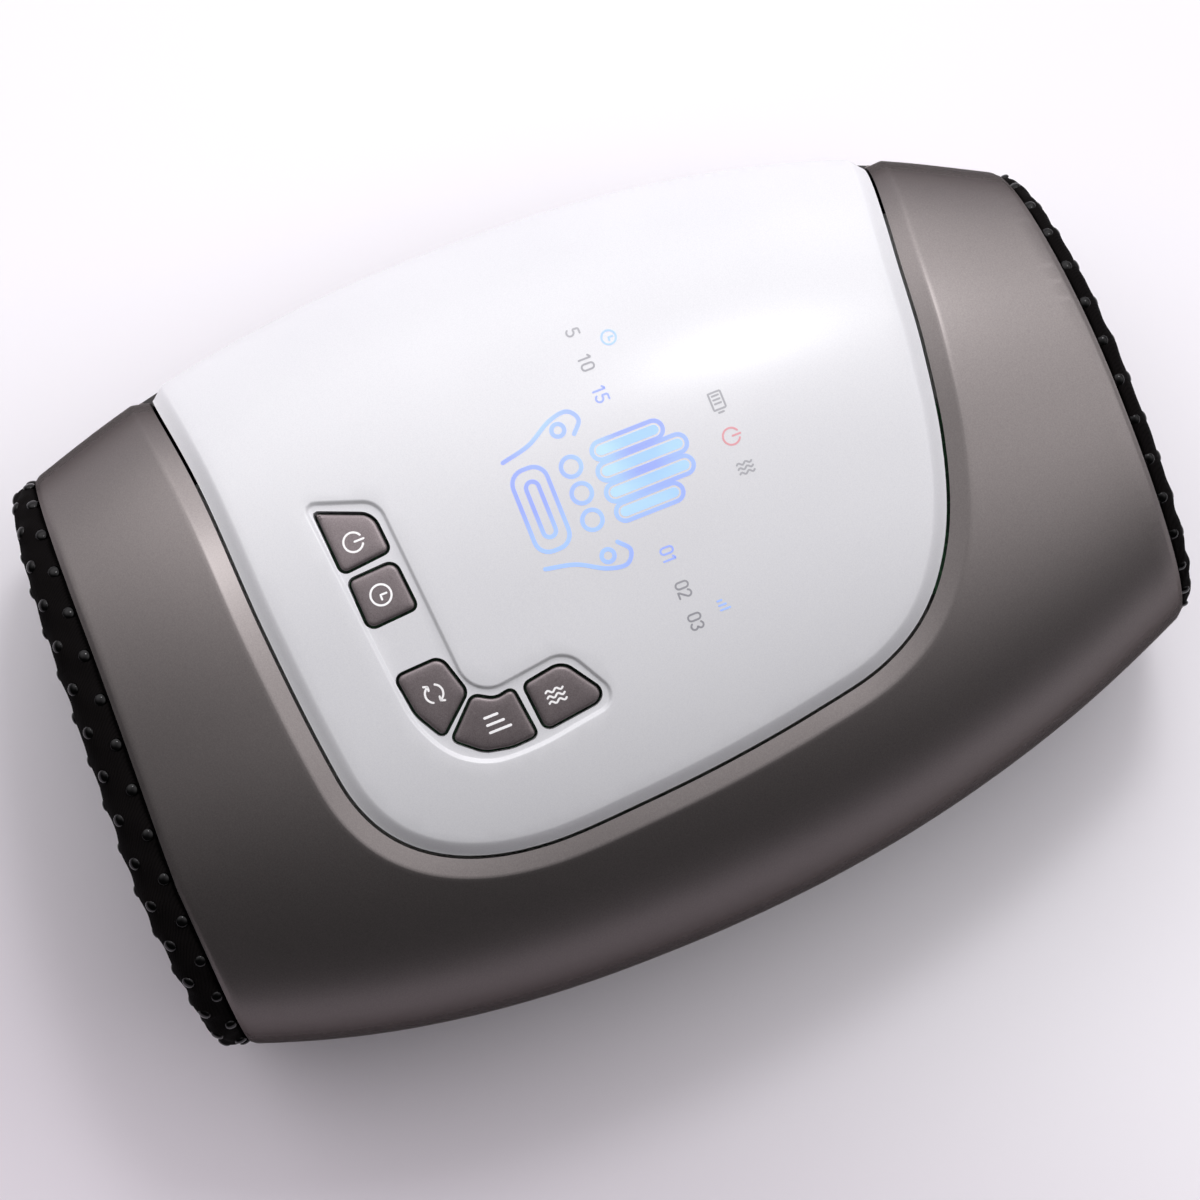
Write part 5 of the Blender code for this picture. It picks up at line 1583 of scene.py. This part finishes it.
# Feet, screws and the charging socket


def lathe(name, profile, sides):
    # Profile points are (radius, height) from the lower middle to the upper middle
    points, faces, rings = [], [], []
    for radius, height in profile:
        count = sides if radius else 1
        rings.append(list(range(len(points), len(points) + count)))
        points += [Vector((x, y, height)) for x, y in circle(0, 0, radius, count)]
    for low, high in zip(rings, rings[1:]):
        for side in range(sides):
            a, b = low[side % len(low)], low[(side + 1) % len(low)]
            c, d = high[(side + 1) % len(high)], high[side % len(high)]
            face = [a, b, c, d]
            faces.append(tuple(sorted(set(face), key=face.index)))
    return meshFrom(name, points, faces, closed=True)


def zincPlate(name, low, high, roughness):
    # Zinc or oxide on stamped steel: metallic, with faint drawing marks
    material, shader, place = newMaterial(name, {"Metallic": 1.0, "Roughness": roughness})
    stretch = addNode(material, "Mapping", {"Scale": (1.0, 0.12, 1.0)}, {"Vector": place}).outputs["Vector"]
    marks = noise(material, stretch, 0.4 * mm, 3.0)
    return finish(
        material,
        shader,
        colour=colourRamp(material, marks, low, high, 0.3, 0.7),
        roughness=valueRange(material, marks, roughness - 0.07, roughness + 0.10),
        normal=bump(material, marks, 0.006 * mm, 0.5),
    )


coats["zinc"] = zincPlate("zincPlatedSteelStamped", "#9fa1a5", "#b9bbbf", 0.32)
coats["oxide"] = zincPlate("blackOxideSteelTurned", "#2c2c2e", "#3c3c3f", 0.38)
# Radius and height of the foot's rings, in millimetres
foot = {
    "profile": (
        (0, 0.25), (3.2, 0.25), (3.6, 0.0), (5.6, 0.0), (6.15, 0.2), (6.45, 0.8),
        (6.2, 1.15), (6.35, 1.5), (6.75, 1.9), (6.95, 2.6), (6.95, 3.3), (0, 3.3),
    ),
    "sides": 48,
}
footMesh = lathe("foot", [(r * mm, z * mm) for r, z in foot["profile"]], foot["sides"])
for row in ("front", "rear"):
    for column in ("left", "right"):
        node, name = "foot_" + row + "_" + column, row + column.capitalize() + "Foot"
        place = (*middleOf(node), 0)
        addPiece(name, footMesh, "rubber", nodes=(node,), place=place)

# Screws: count, then head radius, head height, shank radius and length
screws = {
    "case": (4, 2.6 * mm, 2.0 * mm, 1.4 * mm, 24 * mm),
    "board": (2, 2.0 * mm, 1.2 * mm, 0.9 * mm, 6 * mm),
}
screwForm = {
    "head": ((0.0, 0.0), (0.55, 0.0), (0.85, 0.14), (1.0, 0.5), (1.0, 1.0)),  # shares of its radius and height
    "recess": (1.15, 0.24, 0.62),  # length and width over the head's radius, depth over its height
    "pitch": 0.9 * mm,
    "flank": 0.25 * mm,
    "core": 0.80,  # shares of the shank's radius
    "crest": 1.02,
    "tip": 0.5,
    "point": 0.4 * mm,
    "sides": 28,
}


def screwMesh(name, head, height, shank, length):
    # A pan head below, its cross recess facing down, and a threaded shank above
    pitch, flank = screwForm["pitch"], screwForm["flank"]
    core, crest = shank * screwForm["core"], shank * screwForm["crest"]
    profile = [(head * across, height * up) for across, up in screwForm["head"]]
    profile.append((crest, height))
    for turn in range(int((length - height) / pitch)):
        z = height + (turn + 0.5) * pitch
        profile += [(core, z - flank), (crest, z), (core, z + flank)]
    profile += [(shank * screwForm["tip"], length - screwForm["point"]), (0, length)]
    screw = newObject(name, lathe(name, profile, screwForm["sides"]))
    corners = [(-1, -1), (1, -1), (1, 1), (-1, 1)]
    long, wide, deep = screwForm["recess"]
    for size in ((head * wide, head * long), (head * long, head * wide)):
        points = [Vector((x * size[0] / 2, y * size[1] / 2, -mm)) for x, y in corners]
        points += [Vector((x * size[0] / 3, y * size[1] / 3, height * deep)) for x, y in corners]
        faces = [(3, 2, 1, 0), (4, 5, 6, 7), (0, 1, 5, 4), (1, 2, 6, 5), (2, 3, 7, 6), (3, 0, 4, 7)]
        blade = newObject(name + "Blade", meshFrom(name + "Blade", points, faces))
        blade.data.shade_flat()
        slot = screw.modifiers.new("recess", "BOOLEAN")
        slot.object, slot.operation, slot.solver = blade, "DIFFERENCE", "EXACT"
        applyModifiers(screw)
        bpy.data.objects.remove(blade)
    mesh = screw.data
    bpy.data.objects.remove(screw)
    return mesh


for word, (count, *sizes) in screws.items():
    mesh = screwMesh(word + "Screw", *sizes)
    for number in range(1, count + 1):
        node, name = f"{word}_screw_{number}", f"{word}Screw{number}"
        low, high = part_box(node)
        flipped = word == "board"
        place = (*middleOf(node), high.z if flipped else low.z)
        addPiece(name, mesh, "oxide", nodes=(node,), place=place, flipped=flipped)
print("feet and screws built")


# Charging socket: a drawn steel shell with a contact tongue
socket = {
    "x": (74.6 * mm, 81.9 * mm),
    "size": (8.94 * mm, 3.26 * mm),
    "wall": 0.32 * mm,
    "soft": 0.25 * mm,
    "back": 1.2 * mm,
    "tongue": (6.7 * mm, 0.72 * mm, 81.0 * mm),  # width, thickness, front
    "contacts": 6,
    # Start and end behind the tongue's front, half width, rise
    "contact": (3.6 * mm, 0.5 * mm, 0.22 * mm, 0.05 * mm),
}


def buildSocket():
    back, front = socket["x"]
    width, height = socket["size"]
    middle = Vector((0, port["y"], port["z"]))

    def ring(x, shrink):
        return [middle + Vector((x, a, b)) for a, b in stadium(width - 2 * shrink, height - 2 * shrink)]

    wall, floor, brow = socket["wall"], back + socket["back"], front - socket["soft"]
    steps = ((back, 0), (brow, 0), (front, wall * 0.45), (brow, wall), (floor, wall))
    rings = [ring(x, shrink) for x, shrink in steps]
    rings += [[middle + Vector((x, 0, 0))] * len(rings[0]) for x in (floor, back)]
    mesh = ringsMesh("socketShell", rings)
    addPiece("socketShell", mesh, "zinc", nodes=("charging_socket",))
    long, thick, nose = socket["tongue"]
    y, z = port["y"], port["z"]
    tongue = [((back + mm, y - long / 2, z - thick / 2), (nose, y + long / 2, z + thick / 2))]
    mesh = boxMesh("socketTongue", tongue, 0.12 * mm)
    addPiece("socketTongue", mesh, "blackPlastic")
    strips = []
    start, end, half, rise = socket["contact"]
    for side in (-1, 1):
        for index in range(socket["contacts"]):
            middleY = y + (index - (socket["contacts"] - 1) / 2) * mm
            face = z + side * thick / 2
            low = (nose - start, middleY - half, face - rise)
            strips.append((low, (nose - end, middleY + half, face + rise)))
    addPiece("socketContacts", boxMesh("socketContacts", strips, 0.02 * mm), "gold")


def solderMask():
    # Green solder mask over etched copper: satin lacquer with raised tracks that show through
    coat = {"Roughness": 0.42, "Coat Weight": 0.3, "Coat Roughness": 0.25}
    material, shader, place = newMaterial("solderMaskScreened", coat)
    settings = {"Scale": 1 / (9 * mm), "Mortar Size": 0.03}
    tracks = addNode(material, "TexBrick", settings, {"Vector": place}).outputs["Fac"]
    return finish(
        material,
        shader,
        colour=colourRamp(material, tracks, "#0f4a26", "#2a6b3c", 0.2, 0.8),
        roughness=valueRange(material, noise(material, place, 3 * mm), 0.36, 0.50),
        normal=bump(material, tracks, 0.04 * mm, 0.6),
    )


def heatingFilm():
    # Amber polyimide laminated over an etched foil: glossy, with the foil's winding seen as darker bands
    coat = {"Roughness": 0.25, "Coat Weight": 0.4, "Coat Roughness": 0.1}
    material, shader, place = newMaterial("polyimideFilmLaminated", coat)
    foil = waves(material, place, "Y", 12 * mm, 1.5)
    return finish(
        material,
        shader,
        colour=colourRamp(material, foil, "#8a4a12", "#c27a2a", 0.42, 0.58),
        normal=bump(material, foil, 0.05 * mm, 0.5),
    )


coats["frameWhite"] = moulded("frameAbsMoulded", "#c4c4c0", "#cfcfcb", 0.5, 0.8 * mm, 0.02 * mm)
coats["blackPlastic"] = moulded("blackPbtMoulded", "#161617", "#222223", 0.5, 0.5 * mm, 0.015 * mm)
coats["gold"] = zincPlate("goldFlashPlated", "#b98f3f", "#cfa656", 0.28)
coats["board"] = solderMask()
coats["heater"] = heatingFilm()
coats["sleeve"] = moulded(
    "blueSleeveShrunk", "#123a86", "#1a489c", 0.3, 1.5 * mm, 0.02 * mm, {"Coat Weight": 0.5}
)
coats["silicone"] = moulded(
    "siliconeTubeExtruded", "#cfd2cf", "#dfe1de", 0.35, 1.0 * mm, 0.01 * mm, {"Transmission Weight": 0.3}
)
coats["diffuser"] = moulded(
    "lightGuideFrosted", "#e4e5e6", "#f0f0f1", 0.45, 0.4 * mm, 0.01 * mm, {"Transmission Weight": 0.2}
)
buildSocket()

# Parts inside the case keep their CAD form and take a finish by their slot
innerCoats = {
    "plate_black": "blackPlastic",
    "film_amber": "heater",
    "frame_white": "frameWhite",
    "steel": "zinc",
    "screw_steel": "oxide",
    "circuit_board": "board",
    "cell_sleeve": "sleeve",
    "silicone": "silicone",
    "light_guide": "diffuser",
    "switch_black": "blackPlastic",
}
for subpart in frame["record"]["subparts"]:
    coat = innerCoats.get(subpart["material_slot"])
    if coat:
        node = frame["nodes"][subpart["node"]]
        node.data.materials.clear()
        node.data.materials.append(coats[coat])
print("inner parts coated")


# Stage, light and camera
stage = {
    "floorSize": 3.2,
    "floorBend": 0.6,
    "floorRise": 1.2,
    "floor": "#f8f6fa",
    # Painted shade on the floor, standing in for the light's falloff and a deeper shadow towards the front
    # right: its tone, the way that it lies, and where it starts and ends in metres
    "shade": ("#ded8df", (0.70, -0.71, 0), 0.03, 0.19),
    "lamp": {"place": (-0.81, 0.48, 1.35), "target": (0, 0, 0.06), "size": (0.28, 0.28), "power": 5.0},
    "lampColour": "#fdfdff",
    # Direction, strength and narrowness
    "glows": (
        ((-0.785, 0.030, 0.619), 2.68, 3.6),
        ((0.040, 0.720, 0.693), 1.9, 8.0),
        ((-0.800, 0.580, 0.155), 0.9, 12.0),
    ),
    "glowColour": "#fdfafd",
    "fill": 0.038,
    "backdrop": 0.95,
    # The photo's camera: place in metres, roll and tilt in degrees, lens and film width in millimetres
    "camera": {"place": (0.0024, -0.0473, 1.095), "roll": 21.6, "tilt": 2.3, "lens": 129.4, "film": 36.0},
}


def facing(material, place, way):
    settings = {"operation": "DOT_PRODUCT", 1: way}
    return addNode(material, "VectorMath", settings, {0: place}).outputs["Value"]


def buildFloor():
    size, bend, rise = stage["floorSize"], stage["floorBend"], stage["floorRise"]
    profile = [(-size, 0.0)]
    for step in range(13):
        angle = math.pi / 2 * step / 12
        profile.append((size - bend + bend * math.sin(angle), bend - bend * math.cos(angle)))
    profile.append((size, rise))
    points = [(x, y, z) for x in (-size, size) for y, z in profile]
    mesh = bpy.data.meshes.new("floor")
    mesh.from_pydata(points, [], quadFaces(2, len(profile), closedColumns=False))
    mesh.shade_smooth()
    floor = newObject("floor", mesh)
    # Seamless paper with painted shade: it grows darker towards the front right, standing in for the light's
    # falloff and a deeper shadow there
    material, shader, place = newMaterial("paperRollPaintedShade", {"Roughness": 0.75})
    shade, way, start, end = stage["shade"]
    along = facing(material, place, way)
    settings = {"interpolation_type": "SMOOTHSTEP", "From Min": start, "From Max": end}
    share = addNode(material, "MapRange", settings, {"Value": along}).outputs["Result"]
    fibres = noise(material, place, 0.35, 2.0)
    tone = mixed(material, share, fibres, 0.04)
    tone = colourRamp(material, tone, stage["floor"], shade, 0.0, 1.0)
    floor.data.materials.append(finish(material, shader, colour=tone))


def buildLamp():
    lamp = stage["lamp"]
    data = bpy.data.lights.new("softboxKey", "AREA")
    data.shape, data.size, data.size_y = "RECTANGLE", *lamp["size"]
    data.energy = lamp["power"]
    data.color = linear(stage["lampColour"])[:3]
    light = newObject("softboxKey", data)
    light.location = lamp["place"]
    way = Vector(lamp["target"]) - Vector(lamp["place"])
    light.rotation_euler = way.to_track_quat("-Z", "Y").to_euler()


def buildWorld():
    # Soft walls of light in a dark room: a wide one at the left, a smaller one behind,
    # and a low one between them
    world = bpy.data.worlds.new("studio")
    world.use_nodes = True
    direction = addNode(world, "TexCoord").outputs["Generated"]
    total = None
    for way, strength, narrowness in stage["glows"]:
        ahead = facing(world, direction, way)
        ahead = addNode(world, "Math", {"operation": "MAXIMUM", 1: 0.0}, {0: ahead}).outputs["Value"]
        lobe = addNode(world, "Math", {"operation": "POWER", 1: narrowness}, {0: ahead}).outputs["Value"]
        settings = {"operation": "MULTIPLY_ADD", 1: strength, 2: stage["fill"]}
        added = addNode(world, "Math", settings, {0: lobe})
        if total:
            world.node_tree.links.new(total, added.inputs[2])
        total = added.outputs["Value"]
    background = world.node_tree.nodes["Background"]
    background.inputs["Color"].default_value = linear(stage["glowColour"])
    world.node_tree.links.new(total, background.inputs["Strength"])
    settings = {"Color": linear(stage["floor"]), "Strength": stage["backdrop"]}
    backdrop = addNode(world, "Background", settings)
    seen = addNode(world, "LightPath").outputs["Is Camera Ray"]
    mix = addNode(world, "MixShader", links={0: seen, 1: background.outputs[0], 2: backdrop.outputs[0]})
    world.node_tree.links.new(mix.outputs[0], world.node_tree.nodes["World Output"].inputs["Surface"])
    bpy.context.scene.world = world


def setCamera():
    view = stage["camera"]
    roll, tilt = math.radians(view["roll"]), math.radians(view["tilt"])
    right = Vector((math.sin(roll), math.cos(roll) * math.cos(tilt), math.cos(roll) * math.sin(tilt)))
    up = Vector((-math.cos(roll), math.sin(roll) * math.cos(tilt), math.sin(roll) * math.sin(tilt)))
    back = right.cross(up)
    data = bpy.data.cameras.new("camera")
    data.lens, data.sensor_width = view["lens"], view["film"]
    camera = newObject("camera", data)
    turned = Matrix((right, up, back)).transposed().to_4x4()
    camera.matrix_world = Matrix.Translation(view["place"]) @ turned
    bpy.context.scene.camera = camera


buildFloor()
buildLamp()
buildWorld()
setCamera()
bpy.context.scene.view_settings.view_transform = "Standard"
print("stage set")
